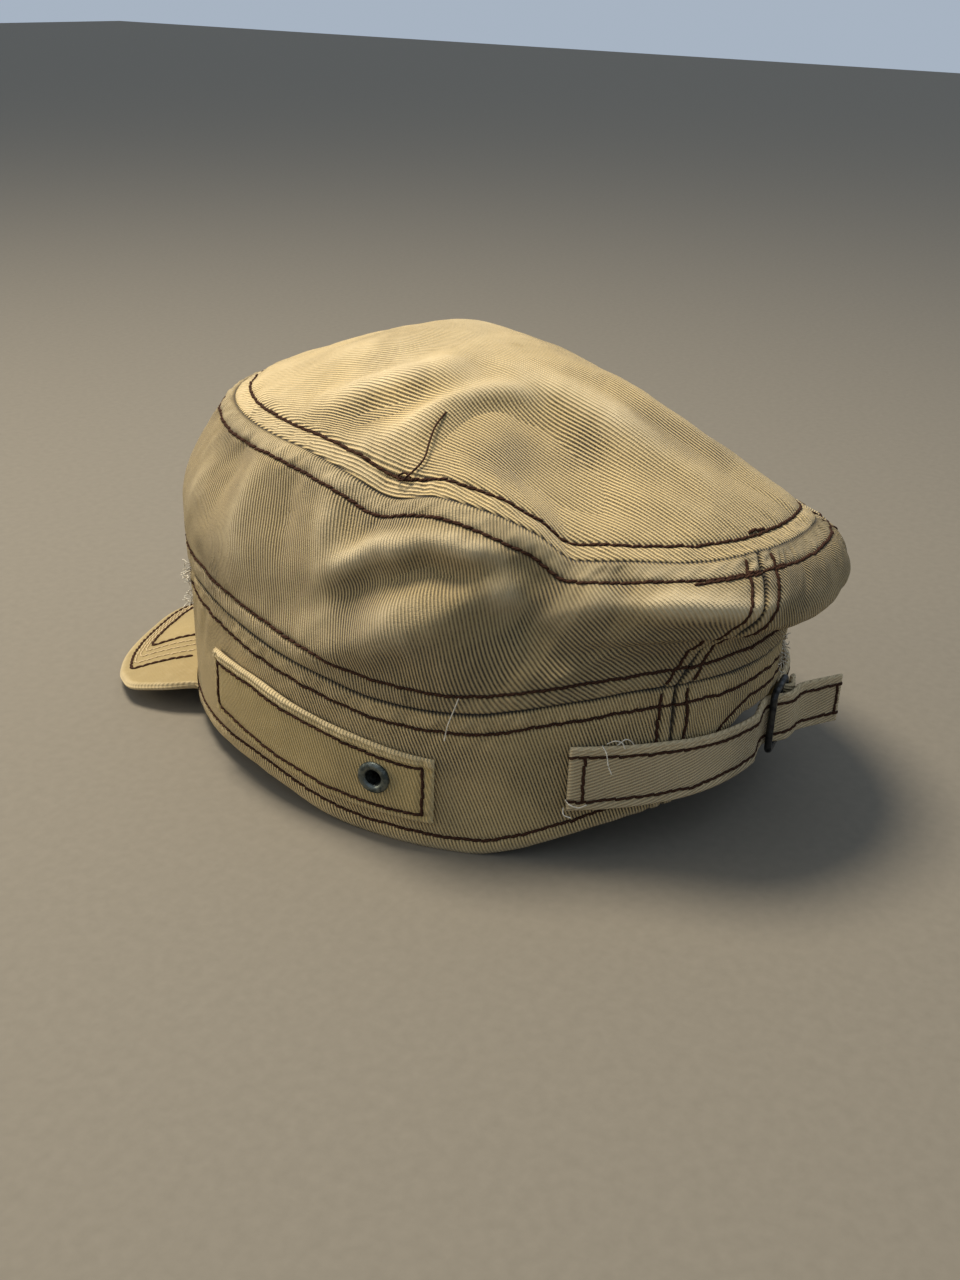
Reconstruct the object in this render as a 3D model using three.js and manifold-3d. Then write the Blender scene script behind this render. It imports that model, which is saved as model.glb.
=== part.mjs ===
import * as THREE from "three";
import { mergeVertices } from "three/addons/utils/BufferGeometryUtils.js";
import Module from "manifold-3d";

// A soft patrol cap lying on its hem, in millimetres, +Z up.
// The front is toward -Y and the wearer's left toward +X. Angles run round the cap
// from the front (0) through the wearer's left (90) and the centre back (180).

// Sizes of the head opening and the crown
const hemLength = 201.6;
const hemWidth = 165.6;
const bandHeight = 46;
const crownLength = 194;
const crownWidth = 130;
const crownShift = 10;
const crownTop = 106;
const domeRise = 21;
const frontFullness = 8.5;
const pouchDepth = 9.5;

// Cloth and gaps between the sewn pieces
const clothThickness = 1.8;
const seamGap = 0.3;
const stripRest = 0.25;
const bandSwell = 0.6;
const rearSeamAngle = 150;
const rearSeamLean = 9;

// Visor
const visorReach = 36;
const visorHalfAngle = 40;
const visorHalfWidth = 61.5;
const visorThickness = 2.8;
const visorSeat = 4.5;
const visorCamber = 1.6;
const visorGap = 0.4;

// Side tabs with their eyelets
const tabThickness = 1.8;
const eyeletRadius = 5;
const eyeletHole = 2.5;
const eyeletLip = 0.9;
const eyeletAngle = 98.8;

// Rear strap and buckle
const strapThickness = 1.6;
const strapStart = 131;
const archHeight = 36;
const archStart = 157;
const tailLength = 15;
const tailFlare = 40;
const buckleAngle = 185;
const buckleHeight = 22;
const barSpacing = 7;
const barRadius = 1.1;

// One row per direction round the cap. Heights are shares of the band height above
// the hem's resting plane, or of the crown's top height for the top seam.
const directions = [
  { angle: 0, hem: 0.13, bandSeam: 1.2, topSeam: 1.0, bulge: 0.06 },
  { angle: 30, hem: 0.11, bandSeam: 1.21, topSeam: 1.0, bulge: 0.06 },
  { angle: 50, hem: 0.13, bandSeam: 1.21, topSeam: 1.0, bulge: 0.05 },
  { angle: 67, hem: 0.14, bandSeam: 1.16, topSeam: 1.0, bulge: 0.04 },
  { angle: 79, hem: 0.1, bandSeam: 1.09, topSeam: 0.975, bulge: 0.04 },
  { angle: 89, hem: 0.03, bandSeam: 1.04, topSeam: 0.935, bulge: 0.05 },
  { angle: 98, hem: 0, bandSeam: 0.99, topSeam: 0.965, bulge: 0.06 },
  { angle: 106, hem: 0, bandSeam: 0.98, topSeam: 0.95, bulge: 0.06 },
  { angle: 115, hem: 0, bandSeam: 1.0, topSeam: 0.905, bulge: 0.04 },
  { angle: 122, hem: 0.05, bandSeam: 1.05, topSeam: 0.845, bulge: 0.03 },
  { angle: 132, hem: 0.17, bandSeam: 1.12, topSeam: 0.85, bulge: 0.02 },
  { angle: 144, hem: 0.28, bandSeam: 1.17, topSeam: 0.845, bulge: 0.02 },
  { angle: 160, hem: 0.33, bandSeam: 1.16, topSeam: 0.855, bulge: 0.02 },
  { angle: 180, hem: 0.33, bandSeam: 1.15, topSeam: 0.86, bulge: 0.02 },
  { angle: 205, hem: 0.33, bandSeam: 1.16, topSeam: 0.82, bulge: 0.03 },
  { angle: 228, hem: 0.17, bandSeam: 1.12, topSeam: 0.8, bulge: 0.05 },
  { angle: 240, hem: 0.03, bandSeam: 1.04, topSeam: 0.82, bulge: 0.06 },
  { angle: 248, hem: 0, bandSeam: 1.0, topSeam: 0.84, bulge: 0.06 },
  { angle: 264, hem: 0, bandSeam: 1.0, topSeam: 0.88, bulge: 0.06 },
  { angle: 284, hem: 0.1, bandSeam: 1.09, topSeam: 0.93, bulge: 0.05 },
  { angle: 310, hem: 0.13, bandSeam: 1.19, topSeam: 0.97, bulge: 0.05 },
  { angle: 360, hem: 0.13, bandSeam: 1.2, topSeam: 1.0, bulge: 0.06 },
];

// How the crown's side sags into a pouch at the rear: a share up the side and a
// share of the pouch depth.
const pouchProfile = [
  { up: 0, out: 0 },
  { up: 0.28, out: -0.25 },
  { up: 0.42, out: 0.7 },
  { up: 0.6, out: 1 },
  { up: 0.8, out: 0.7 },
  { up: 1, out: 0 },
];
const pouchAround = [
  { angle: 0, depth: 0 },
  { angle: 120, depth: 0 },
  { angle: 145, depth: 0.6 },
  { angle: 170, depth: 1 },
  { angle: 205, depth: 0.8 },
  { angle: 235, depth: 0.3 },
  { angle: 255, depth: 0 },
  { angle: 360, depth: 0 },
];

// Soft folds of the crown's side: centre, reach round and up, lean and depth in mm.
const sideFolds = [
  { angle: 117, up: 0.58, round: 10, rise: 0.2, lean: -0.012, depth: -4.5 },
  { angle: 100, up: 0.42, round: 14, rise: 0.14, lean: 0.022, depth: 3 },
  { angle: 82, up: 0.32, round: 11, rise: 0.18, lean: 0.008, depth: -2 },
  { angle: 138, up: 0.64, round: 12, rise: 0.16, lean: 0, depth: 2 },
  { angle: 48, up: 0.75, round: 9, rise: 0.16, lean: 0.01, depth: -2 },
  { angle: 20, up: 0.5, round: 14, rise: 0.25, lean: 0, depth: 2 },
  { angle: 318, up: 0.45, round: 16, rise: 0.18, lean: -0.008, depth: -3 },
  { angle: 285, up: 0.55, round: 16, rise: 0.18, lean: 0.008, depth: 3 },
  { angle: 256, up: 0.42, round: 14, rise: 0.18, lean: -0.008, depth: -3.5 },
];

// Soft folds of the top panel: place as shares of its half width and half length,
// reach along and across as shares of its half length, heading and height in mm.
const topFolds = [
  { left: 0.53, back: -0.08, along: 0.27, across: 0.075, heading: 102, height: 3 },
  { left: 0.41, back: -0.3, along: 0.3, across: 0.12, heading: 58, height: -2.5 },
  { left: 0.38, back: 0.24, along: 0.3, across: 0.13, heading: 175, height: -3 },
  { left: 0.66, back: 0.38, along: 0.16, across: 0.08, heading: 150, height: -2.5 },
  { left: -0.15, back: 0.4, along: 0.55, across: 0.14, heading: 177, height: 3.5 },
  { left: -0.6, back: 0.25, along: 0.45, across: 0.14, heading: 170, height: -3 },
];

// How the top panel rises from its seam (0) to its middle (1), share of the dome rise
const domeProfile = [
  { share: 0, rise: 0 },
  { share: 0.12, rise: 0.2 },
  { share: 0.35, rise: 0.55 },
  { share: 0.7, rise: 0.93 },
  { share: 1, rise: 1 },
];

// Lower and upper edge of the side tabs, shares of the band height
const tabRows = [
  { angle: 60, low: 0.4, high: 0.87 },
  { angle: 72, low: 0.35, high: 0.86 },
  { angle: 83, low: 0.275, high: 0.79 },
  { angle: 92, low: 0.23, high: 0.74 },
  { angle: 109, low: 0.21, high: 0.67 },
];

// Middle and width of the rear strap, shares of the band height, and its bow away
// from the band in mm
const strapRows = [
  { angle: 131, middle: 0.605, width: 0.45, bow: 0 },
  { angle: 145, middle: 0.595, width: 0.44, bow: 0.2 },
  { angle: 161, middle: 0.575, width: 0.4, bow: 0.3 },
  { angle: 169, middle: 0.575, width: 0.38, bow: 0.3 },
  { angle: 177, middle: 0.57, width: 0.36, bow: 0.2 },
  { angle: 193, middle: 0.565, width: 0.36, bow: 0.6 },
  { angle: 201, middle: 0.57, width: 0.38, bow: 0.9 },
  { angle: 209, middle: 0.575, width: 0.41, bow: 0.7 },
  { angle: 229, middle: 0.6, width: 0.45, bow: 0 },
];

// Visor edge from its middle (0) to its corner (1): shares of the half width, of the
// way from the corner forward to the tip, and of the cap's front lift
const visorRows = [
  { place: -0.2, side: -0.28, fore: 0.94, lift: 0 },
  { place: 0, side: 0, fore: 1, lift: 0 },
  { place: 0.2, side: 0.28, fore: 0.94, lift: 0 },
  { place: 0.4, side: 0.57, fore: 0.83, lift: 0.05 },
  { place: 0.55, side: 0.76, fore: 0.71, lift: 0.15 },
  { place: 0.7, side: 0.92, fore: 0.55, lift: 0.32 },
  { place: 0.82, side: 1, fore: 0.38, lift: 0.5 },
  { place: 0.92, side: 0.97, fore: 0.2, lift: 0.72 },
  { place: 1, side: 0.88, fore: 0.02, lift: 0.9 },
];

// Smooth value of one column of a table, without overshooting its rows
function along(rows, key, column, place) {
  const last = rows.length - 1;
  const at = Math.min(Math.max(place, rows[0][key]), rows[last][key]);
  let row = 0;
  while (row < last - 1 && at > rows[row + 1][key]) row += 1;
  const slope = (i) => (rows[i + 1][column] - rows[i][column]) / (rows[i + 1][key] - rows[i][key]);
  const tangent = (i) => {
    if (i === 0 || i === last) return 0;
    const before = slope(i - 1);
    const after = slope(i);
    return before * after <= 0 ? 0 : (2 * before * after) / (before + after);
  };
  const width = rows[row + 1][key] - rows[row][key];
  const t = (at - rows[row][key]) / width;
  const rise = rows[row + 1][column] - rows[row][column];
  const start = tangent(row) * width;
  const end = tangent(row + 1) * width;
  return rows[row][column] + t * start + t * t * (3 * rise - 2 * start - end)
    + t * t * t * (start + end - 2 * rise);
}

const degrees = Math.PI / 180;
const turn = (angle) => ((angle % 360) + 360) % 360;
const bump = (a, b) => Math.exp(-(a * a + b * b));

function gapAngle(from, to) {
  return ((from - to + 540) % 360) - 180;
}

function oval(angle, halfWidth, halfLength, shift) {
  const a = angle * degrees;
  return [halfWidth * Math.sin(a), shift - halfLength * Math.cos(a)];
}

function direction(column, angle) {
  return along(directions, "angle", column, turn(angle));
}

// Height of the hem's edge, with the rear arch
function hemHeight(angle) {
  const fromBack = Math.abs(gapAngle(angle, 180));
  const reach = 180 - archStart;
  const hem = bandHeight * direction("hem", angle);
  if (fromBack >= reach) return hem;
  const share = 1 - fromBack / reach;
  const arch = Math.sqrt(Math.sin(Math.min(1, share * 1.5) * Math.PI / 2));
  return hem + (archHeight - hem) * arch;
}

// Outer face of the band: share 0 at the hem, 1 at the band seam
function bandPoint(angle, share) {
  const low = hemHeight(angle);
  const high = bandHeight * direction("bandSeam", angle);
  const z = low + (high - low) * share;
  const swell = bandSwell * share;
  const [x, y] = oval(angle, hemWidth / 2 + swell, hemLength / 2 + swell, 0);
  return new THREE.Vector3(x, y, z);
}

function topSeam(angle) {
  const [x, y] = oval(angle, crownWidth / 2, crownLength / 2, crownShift);
  return new THREE.Vector3(x, y, crownTop * direction("topSeam", angle));
}

// Outer face of the crown's side: share 0 at the band seam, 1 at the top seam
function sidePoint(angle, share) {
  const low = bandPoint(angle, 1);
  const point = low.clone().lerp(topSeam(angle), share);
  const side = point.z - low.z;
  const round = turn(angle);
  const out = [Math.sin(round * degrees), -Math.cos(round * degrees)];
  let push = direction("bulge", angle) * crownTop * Math.sin(Math.PI * share);
  push += pouchDepth * along(pouchAround, "angle", "depth", round)
    * along(pouchProfile, "up", "out", share);
  const rim = Math.min(1, share / 0.12, (1 - share) / 0.12);
  for (const fold of sideFolds) {
    const across = gapAngle(round, fold.angle);
    const up = share - fold.up - fold.lean * across;
    push += rim * fold.depth * bump(across / fold.round, up / fold.rise);
  }
  return new THREE.Vector3(point.x + out[0] * push, point.y + out[1] * push, low.z + side);
}

// Outer face of the top panel: share 0 at the top seam, 1 at its middle
function topPoint(angle, share) {
  const seam = topSeam(angle);
  const left = (seam.x / (crownWidth / 2)) * (1 - share);
  const back = ((seam.y - crownShift) / (crownLength / 2)) * (1 - share);
  const middle = crownTop * 0.955;
  const level = seam.z + (middle - seam.z) * Math.min(1, share * 1.15);
  const inward = Math.min(1, share / 0.1);
  let z = level + domeRise * along(domeProfile, "share", "rise", share);
  z += inward * frontFullness * bump((left + 0.1) / 0.8, (back + 0.3) / 0.55);
  for (const fold of topFolds) {
    const a = fold.heading * degrees;
    const dx = (left - fold.left) * (crownWidth / crownLength);
    const dy = back - fold.back;
    const lengthwise = dx * Math.sin(a) - dy * Math.cos(a);
    const sideways = dx * Math.cos(a) + dy * Math.sin(a);
    z += inward * Math.min(1, (1 - share) / 0.35) * fold.height
      * bump(lengthwise / fold.along, sideways / fold.across);
  }
  return new THREE.Vector3(left * crownWidth / 2, crownShift + back * crownLength / 2, z);
}

// The whole outer surface: 0 hem, 1 band seam, 2 top seam, 3 middle of the top
function outside(angle, level) {
  if (level <= 1) return bandPoint(angle, level);
  if (level <= 2) return sidePoint(leaned(angle, level - 1), level - 1);
  return topPoint(angle, level - 2);
}

// The rear seams lean toward the centre back as they rise
function leaned(angle, share) {
  const rise = rearSeamLean * share;
  return angle + rise * (bump(gapAngle(angle, rearSeamAngle) / 14, 0)
    - bump(gapAngle(angle, -rearSeamAngle) / 14, 0));
}

// Direction out of the cloth, level with the floor along the band
function outward(angle, level) {
  const step = 0.04;
  const up = outside(angle, Math.min(level + step, 2.97));
  const down = outside(angle, Math.max(level - step, 0));
  const rise = up.sub(down);
  const round = outside(angle + 1.5, level).sub(outside(angle - 1.5, level));
  const normal = round.cross(rise).normalize();
  if (level < 1) {
    const flat = new THREE.Vector3(normal.x, normal.y, 0).normalize();
    normal.lerp(flat, Math.min(1, (1 - level) / 0.15)).normalize();
  }
  return normal;
}

// A closed body from a grid of points on its outer and inner face. A tip closes the
// last row of each face to one point.
function shell(outer, inner, closedRound, tips) {
  const rows = outer.length;
  const columns = outer[0].length;
  const points = [...outer.flat(), ...inner.flat(), ...(tips || [])];
  const faces = [];
  const id = (side, row, column) => side * rows * columns + row * columns + (column % columns);
  const quad = (a, b, c, d) => {
    if (points[a].distanceTo(points[c]) <= points[b].distanceTo(points[d])) {
      faces.push(a, b, c, a, c, d);
    } else {
      faces.push(a, b, d, b, c, d);
    }
  };
  const spans = closedRound ? columns : columns - 1;
  const top = rows - 1;
  const end = columns - 1;
  for (let i = 0; i < spans; i += 1) {
    for (let row = 0; row < top; row += 1) {
      quad(id(0, row, i), id(0, row, i + 1), id(0, row + 1, i + 1), id(0, row + 1, i));
      quad(id(1, row, i), id(1, row + 1, i), id(1, row + 1, i + 1), id(1, row, i + 1));
    }
    quad(id(0, 0, i + 1), id(0, 0, i), id(1, 0, i), id(1, 0, i + 1));
    if (tips) {
      faces.push(id(0, top, i), id(0, top, i + 1), 2 * rows * columns);
      faces.push(id(1, top, i + 1), id(1, top, i), 2 * rows * columns + 1);
    } else {
      quad(id(0, top, i), id(0, top, i + 1), id(1, top, i + 1), id(1, top, i));
    }
  }
  for (let row = 0; row < top && !closedRound; row += 1) {
    quad(id(0, row, 0), id(0, row + 1, 0), id(1, row + 1, 0), id(1, row, 0));
    quad(id(0, row + 1, end), id(0, row, end), id(1, row, end), id(1, row + 1, end));
  }
  return faceted(points.flatMap((p) => [p.x, p.y, p.z]), faces);
}

function faceted(positions, faces) {
  const geometry = new THREE.BufferGeometry();
  geometry.setAttribute("position", new THREE.Float32BufferAttribute(positions, 3));
  geometry.setIndex(faces);
  geometry.computeVertexNormals();
  return geometry;
}

function steps(from, to, count) {
  return Array.from({ length: count + 1 }, (_, i) => from + ((to - from) * i) / count);
}

function insideOf(angle, level) {
  return outside(angle, level).addScaledVector(outward(angle, level), -clothThickness);
}

// A piece of the cap's own surface between two directions and two levels
function panel(angles, levels, closedRound) {
  const outer = levels.map((level) => angles.map((angle) => outside(angle, level)));
  const inner = levels.map((level) => angles.map((angle) => insideOf(angle, level)));
  return shell(outer, inner, closedRound);
}

// Half a gap left free at each seam
const sideHeight = crownTop - bandHeight * 1.1;
const bandGap = seamGap / 2 / bandHeight;
const sideGap = seamGap / 2 / sideHeight;
const topGap = seamGap / 2 / (crownWidth / 2);
const gapAround = seamGap / 2 / (hemWidth / 2) / degrees;
const frontAngles = steps(-rearSeamAngle + gapAround, rearSeamAngle - gapAround, 72);
const backAngles = steps(rearSeamAngle + gapAround, 360 - rearSeamAngle - gapAround, 18);
const bandLevels = steps(0, 1 - bandGap, 4);
const sideLevels = steps(1 + sideGap, 2 - sideGap, 10);

function topPanel() {
  const angles = [...frontAngles, ...backAngles.slice(1, -1)].map((angle) => leaned(angle, 1));
  const shares = [topGap, 0.08, 0.18, 0.32, 0.48, 0.66, 0.85];
  const outer = shares.map((share) => angles.map((angle) => outside(angle, 2 + share)));
  const inner = shares.map((share) => angles.map((angle) => insideOf(angle, 2 + share)));
  const middle = outside(0, 3);
  const below = middle.clone().setZ(middle.z - clothThickness);
  return shell(outer, inner, true, [middle, below]);
}

// A flat piece that stands on the band: rows of points low and high, on both faces
function standing(stations, thickness) {
  const offset = (station, z, side) => new THREE.Vector3(
    station.x + (side * thickness / 2) * station.outX,
    station.y + (side * thickness / 2) * station.outY,
    z,
  );
  const levels = [0, 1];
  const rows = (side) => levels.map((level) => stations.map((station) => (
    offset(station, station.low + (station.high - station.low) * level, side)
  )));
  return shell(rows(1), rows(-1), false);
}

function bandStation(angle, away, low, high) {
  const level = THREE.MathUtils.clamp((low + high) / 2 / bandHeight, 0, 1);
  const swell = bandSwell * level;
  const [x, y] = oval(angle, hemWidth / 2 + swell, hemLength / 2 + swell, 0);
  const [ox, oy] = oval(angle, 1 / hemWidth, 1 / hemLength, 0);
  const size = Math.hypot(ox, oy);
  const out = [ox / size, oy / size];
  return { x: x + away * out[0], y: y + away * out[1], outX: out[0], outY: out[1], low, high };
}

function tab() {
  const first = tabRows[0].angle;
  const last = tabRows[tabRows.length - 1].angle;
  const away = seamGap + stripRest + tabThickness / 2;
  const stations = steps(first, last, 14).map((angle) => bandStation(
    angle,
    away,
    bandHeight * along(tabRows, "angle", "low", angle),
    bandHeight * along(tabRows, "angle", "high", angle),
  ));
  return standing(stations, tabThickness);
}

function strapStation(angle) {
  const middle = bandHeight * along(strapRows, "angle", "middle", angle);
  const half = (bandHeight * along(strapRows, "angle", "width", angle)) / 2;
  const away = seamGap + stripRest + strapThickness / 2 + along(strapRows, "angle", "bow", angle);
  return bandStation(angle, away, middle - half, middle + half);
}

// Place beside the buckle's middle bar: along to the wearer's right and away outward
function buckleStation(alongStrap, away) {
  const middle = strapStation(buckleAngle);
  const goX = -middle.outY;
  const goY = middle.outX;
  return {
    x: middle.x + alongStrap * goX + away * middle.outX,
    y: middle.y + alongStrap * goY + away * middle.outY,
    low: middle.low,
    high: middle.high,
  };
}

// Turns a row of places into stations that face across their own path
function facingAcross(places) {
  return places.map((place, i) => {
    const next = places[Math.min(i + 1, places.length - 1)];
    const back = places[Math.max(i - 1, 0)];
    const size = Math.hypot(next.x - back.x, next.y - back.y);
    return { ...place, outX: (next.y - back.y) / size, outY: (back.x - next.x) / size };
  });
}

function smoothPath(places, count) {
  const points = places.map((place) => new THREE.Vector3(place.x, place.y, 0));
  const curve = new THREE.CatmullRomCurve3(points, false, "centripetal");
  const { low, high } = buckleStation(0, 0);
  return curve.getPoints(count).map((point) => ({ x: point.x, y: point.y, low, high }));
}

const overBar = barRadius + 0.45 + strapThickness / 2;
const overLoop = overBar + strapThickness + 0.45;

function strapLeft() {
  const approach = steps(strapStart, buckleAngle - 12, 16).map(strapStation);
  const out = (share) => [
    barSpacing * 1.25 + share * tailLength * Math.cos(tailFlare * degrees),
    overLoop + 0.9 + share * tailLength * Math.sin(tailFlare * degrees),
  ];
  const through = [
    [-barSpacing, -overBar - 0.3],
    [-barSpacing * 0.5, -overBar * 0.15],
    [0, overBar + 0.7],
    [barSpacing * 0.5, overBar + 1.7],
    [barSpacing, overLoop + 0.2],
    out(0.35),
    out(0.7),
    out(1),
  ].map(([u, w]) => buckleStation(u, w));
  const rest = smoothPath([approach[approach.length - 1], ...through], 26).slice(1);
  return standing(facingAcross([...approach, ...rest]), strapThickness);
}

function strapRight() {
  const approach = steps(360 - strapStart, buckleAngle + 14, 14).map(strapStation);
  const loop = [
    [barSpacing * 1.5, -overBar * 0.95],
    [barSpacing, -overBar],
    [barSpacing - overBar * 0.8, -overBar * 0.6],
    [barSpacing - overBar, 0],
    [barSpacing - overBar * 0.8, overBar * 0.6],
    [barSpacing, overBar],
    [barSpacing * 1.5, overBar * 0.62],
    [barSpacing * 1.9, overBar * 0.5],
  ].map(([u, w]) => buckleStation(u, w));
  const rest = smoothPath([approach[approach.length - 1], ...loop], 26).slice(1);
  return standing(facingAcross([...approach, ...rest].reverse()), strapThickness);
}

function visor() {
  const corner = visorHalfAngle;
  const edge = steps(-1, 1, 28);
  const shares = steps(0, 1, 6);
  const tipY = -hemLength / 2 - visorReach;
  const cornerY = -(hemLength / 2) * Math.cos(corner * degrees);
  const lift = bandHeight * 0.13 + visorSeat;
  const top = shares.map((share) => edge.map((place) => {
    const angle = place * corner;
    const inner = bandStation(angle, visorGap, 0, 0);
    const innerZ = hemHeight(angle) + visorSeat + visorThickness / 2;
    const beside = Math.abs(place);
    const halfSide = visorHalfWidth * along(visorRows, "place", "side", beside);
    const side = halfSide * Math.sign(place);
    const fore = cornerY + (tipY - cornerY) * along(visorRows, "place", "fore", beside);
    const outerZ = visorThickness + lift * along(visorRows, "place", "lift", beside);
    const camber = visorCamber * Math.sin(Math.PI * share) * (1 - place * place);
    return new THREE.Vector3(
      inner.x + (side - inner.x) * share,
      inner.y + (fore - inner.y) * share,
      innerZ + (outerZ - innerZ) * share + camber,
    );
  }));
  const bottom = top.map((row) => row.map((p) => new THREE.Vector3(p.x, p.y, p.z - visorThickness)));
  return shell(top.map((row) => [...row].reverse()), bottom.map((row) => [...row].reverse()), false);
}

const wasm = await Module();
wasm.setup();

// Solids that are cut or joined
function toManifold(geometry) {
  const plain = geometry.clone();
  plain.deleteAttribute("normal");
  plain.deleteAttribute("uv");
  const merged = mergeVertices(plain, 1e-4);
  return new wasm.Manifold(new wasm.Mesh({
    numProp: 3,
    vertProperties: merged.getAttribute("position").array,
    triVerts: new Uint32Array(merged.getIndex().array),
  }));
}

function toGeometry(manifold) {
  const mesh = manifold.getMesh();
  return faceted(Array.from(mesh.vertProperties), Array.from(mesh.triVerts));
}

// Turns a solid along +Z to face out of the band at a direction and height
function placeOnBand(geometry, angle, away, height) {
  const station = bandStation(angle, away, height, height);
  const frame = new THREE.Matrix4().makeBasis(
    new THREE.Vector3(-station.outY, station.outX, 0),
    new THREE.Vector3(0, 0, 1),
    new THREE.Vector3(station.outX, station.outY, 0),
  );
  frame.setPosition(station.x, station.y, height);
  return geometry.applyMatrix4(frame);
}

const tabFace = seamGap + stripRest + tabThickness;
const eyeletHeight = bandHeight * 0.47;
const barrelRadius = eyeletHole + 0.5;

function eyeletOpening() {
  const round = new THREE.CylinderGeometry(barrelRadius + 0.35, barrelRadius + 0.35, 12, 18);
  round.rotateX(Math.PI / 2);
  return toManifold(placeOnBand(round, eyeletAngle, 0, eyeletHeight));
}

// A rolled ring with its barrel through the tab and the band
function eyelet() {
  const inside = -(clothThickness + seamGap + 0.5);
  const outline = [
    [eyeletHole, inside - 0.5],
    [barrelRadius + 1.2, inside - 0.5],
    [barrelRadius + 1.2, inside],
    [barrelRadius, inside],
    [barrelRadius, tabFace + seamGap],
    [eyeletRadius, tabFace + seamGap],
    [eyeletRadius, tabFace + seamGap + eyeletLip * 0.45],
    [eyeletRadius - 0.7, tabFace + seamGap + eyeletLip],
    [eyeletHole + 0.8, tabFace + seamGap + eyeletLip * 0.8],
    [eyeletHole, tabFace + seamGap],
  ].map(([radius, z]) => new THREE.Vector2(radius, z));
  const ring = new THREE.LatheGeometry([...outline, outline[0]], 18);
  ring.rotateX(Math.PI / 2);
  const body = toManifold(ring);
  return placeOnBand(toGeometry(body), eyeletAngle, 0, eyeletHeight);
}

// A frame of two rails and three upright bars
function buckle() {
  const middle = strapStation(buckleAngle);
  const z = (middle.low + middle.high) / 2;
  const turned = new THREE.Matrix4().makeBasis(
    new THREE.Vector3(-middle.outY, middle.outX, 0),
    new THREE.Vector3(middle.outX, middle.outY, 0).negate(),
    new THREE.Vector3(0, 0, 1),
  );
  const solids = [];
  for (const place of [-barSpacing, 0, barSpacing]) {
    const bar = new THREE.CylinderGeometry(barRadius, barRadius, buckleHeight - barRadius * 2, 14);
    bar.rotateX(Math.PI / 2);
    bar.translate(place, 0, 0);
    solids.push(toManifold(bar));
  }
  for (const side of [-1, 1]) {
    const rail = new THREE.BoxGeometry(barSpacing * 2 + barRadius * 2.6, barRadius * 2.2, barRadius * 2);
    rail.translate(0, 0, side * (buckleHeight / 2 - barRadius));
    solids.push(toManifold(rail));
  }
  const frame = toGeometry(wasm.Manifold.union(solids));
  frame.applyMatrix4(turned);
  frame.translate(middle.x, middle.y, z);
  return frame;
}

function mirrored(geometry) {
  const copy = geometry.clone();
  const position = copy.getAttribute("position");
  for (let i = 0; i < position.count; i += 1) position.setX(i, -position.getX(i));
  const faces = Array.from(copy.getIndex().array);
  for (let i = 0; i < faces.length; i += 3) [faces[i], faces[i + 1]] = [faces[i + 1], faces[i]];
  copy.setIndex(faces);
  copy.computeVertexNormals();
  return copy;
}

const cotton = { color: 0xa8905f, roughness: 0.95, metalness: 0 };
const metal = { color: 0x4c4a45, roughness: 0.4, metalness: 0.9 };

const cap = new THREE.Group();
cap.name = "patrol_cap";

function addPiece(name, geometry, look) {
  const mesh = new THREE.Mesh(geometry, new THREE.MeshStandardMaterial(look));
  mesh.name = name;
  cap.add(mesh);
}

const hole = eyeletOpening();
const otherHole = toManifold(mirrored(toGeometry(hole)));
const bandFront = toManifold(panel(frontAngles, bandLevels, false)).subtract(hole).subtract(otherHole);
const tabLeft = toGeometry(toManifold(tab()).subtract(hole));
const eyeletLeft = eyelet();

addPiece("crown_top", topPanel(), cotton);
addPiece("crown_side", panel(frontAngles, sideLevels, false), cotton);
addPiece("crown_back", panel(backAngles, sideLevels, false), cotton);
addPiece("band_front", toGeometry(bandFront), cotton);
addPiece("band_back", panel(backAngles, bandLevels, false), cotton);
addPiece("visor", visor(), cotton);
addPiece("tab_left", tabLeft, cotton);
addPiece("tab_right", mirrored(tabLeft), cotton);
addPiece("eyelet_left", eyeletLeft, metal);
addPiece("eyelet_right", mirrored(eyeletLeft), metal);
addPiece("strap_left", strapLeft(), cotton);
addPiece("strap_right", strapRight(), cotton);
addPiece("buckle", buckle(), metal);

// The origin is the bottom centre of the whole cap
const box = new THREE.Box3().setFromObject(cap);
const centre = box.getCenter(new THREE.Vector3());
cap.position.set(-centre.x, -centre.y, -box.min.z);

export default cap;
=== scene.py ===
# A washed cotton patrol cap on a pale floor, seen from behind its left side.
# Lengths are worked out in millimetres round the cap's own middle (front -Y, wearer's
# left +X, floor at 0) and become metres when a mesh is made.
from functools import partial
from math import cos, pi, radians, sin

import bmesh
import bpy
import numpy as np
from mathutils import Matrix, Vector


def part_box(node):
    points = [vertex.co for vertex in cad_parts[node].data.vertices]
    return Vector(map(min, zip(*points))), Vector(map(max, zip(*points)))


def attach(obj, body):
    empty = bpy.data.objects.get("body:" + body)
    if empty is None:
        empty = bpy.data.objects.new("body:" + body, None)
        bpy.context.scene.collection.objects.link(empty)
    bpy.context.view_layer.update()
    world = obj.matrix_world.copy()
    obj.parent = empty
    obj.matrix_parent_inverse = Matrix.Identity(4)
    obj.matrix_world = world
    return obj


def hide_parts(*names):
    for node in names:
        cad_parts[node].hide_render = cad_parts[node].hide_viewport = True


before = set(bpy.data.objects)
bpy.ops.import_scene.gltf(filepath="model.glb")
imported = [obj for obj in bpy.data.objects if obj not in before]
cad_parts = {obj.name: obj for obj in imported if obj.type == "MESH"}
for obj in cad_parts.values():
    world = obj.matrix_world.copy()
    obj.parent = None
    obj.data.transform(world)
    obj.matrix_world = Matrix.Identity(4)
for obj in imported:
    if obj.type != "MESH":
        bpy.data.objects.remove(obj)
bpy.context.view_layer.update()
capShift = np.array([0.0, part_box("visor")[0][1] * 1000 + 136.8, 0.0])
print("stage: frame loaded")

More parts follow.
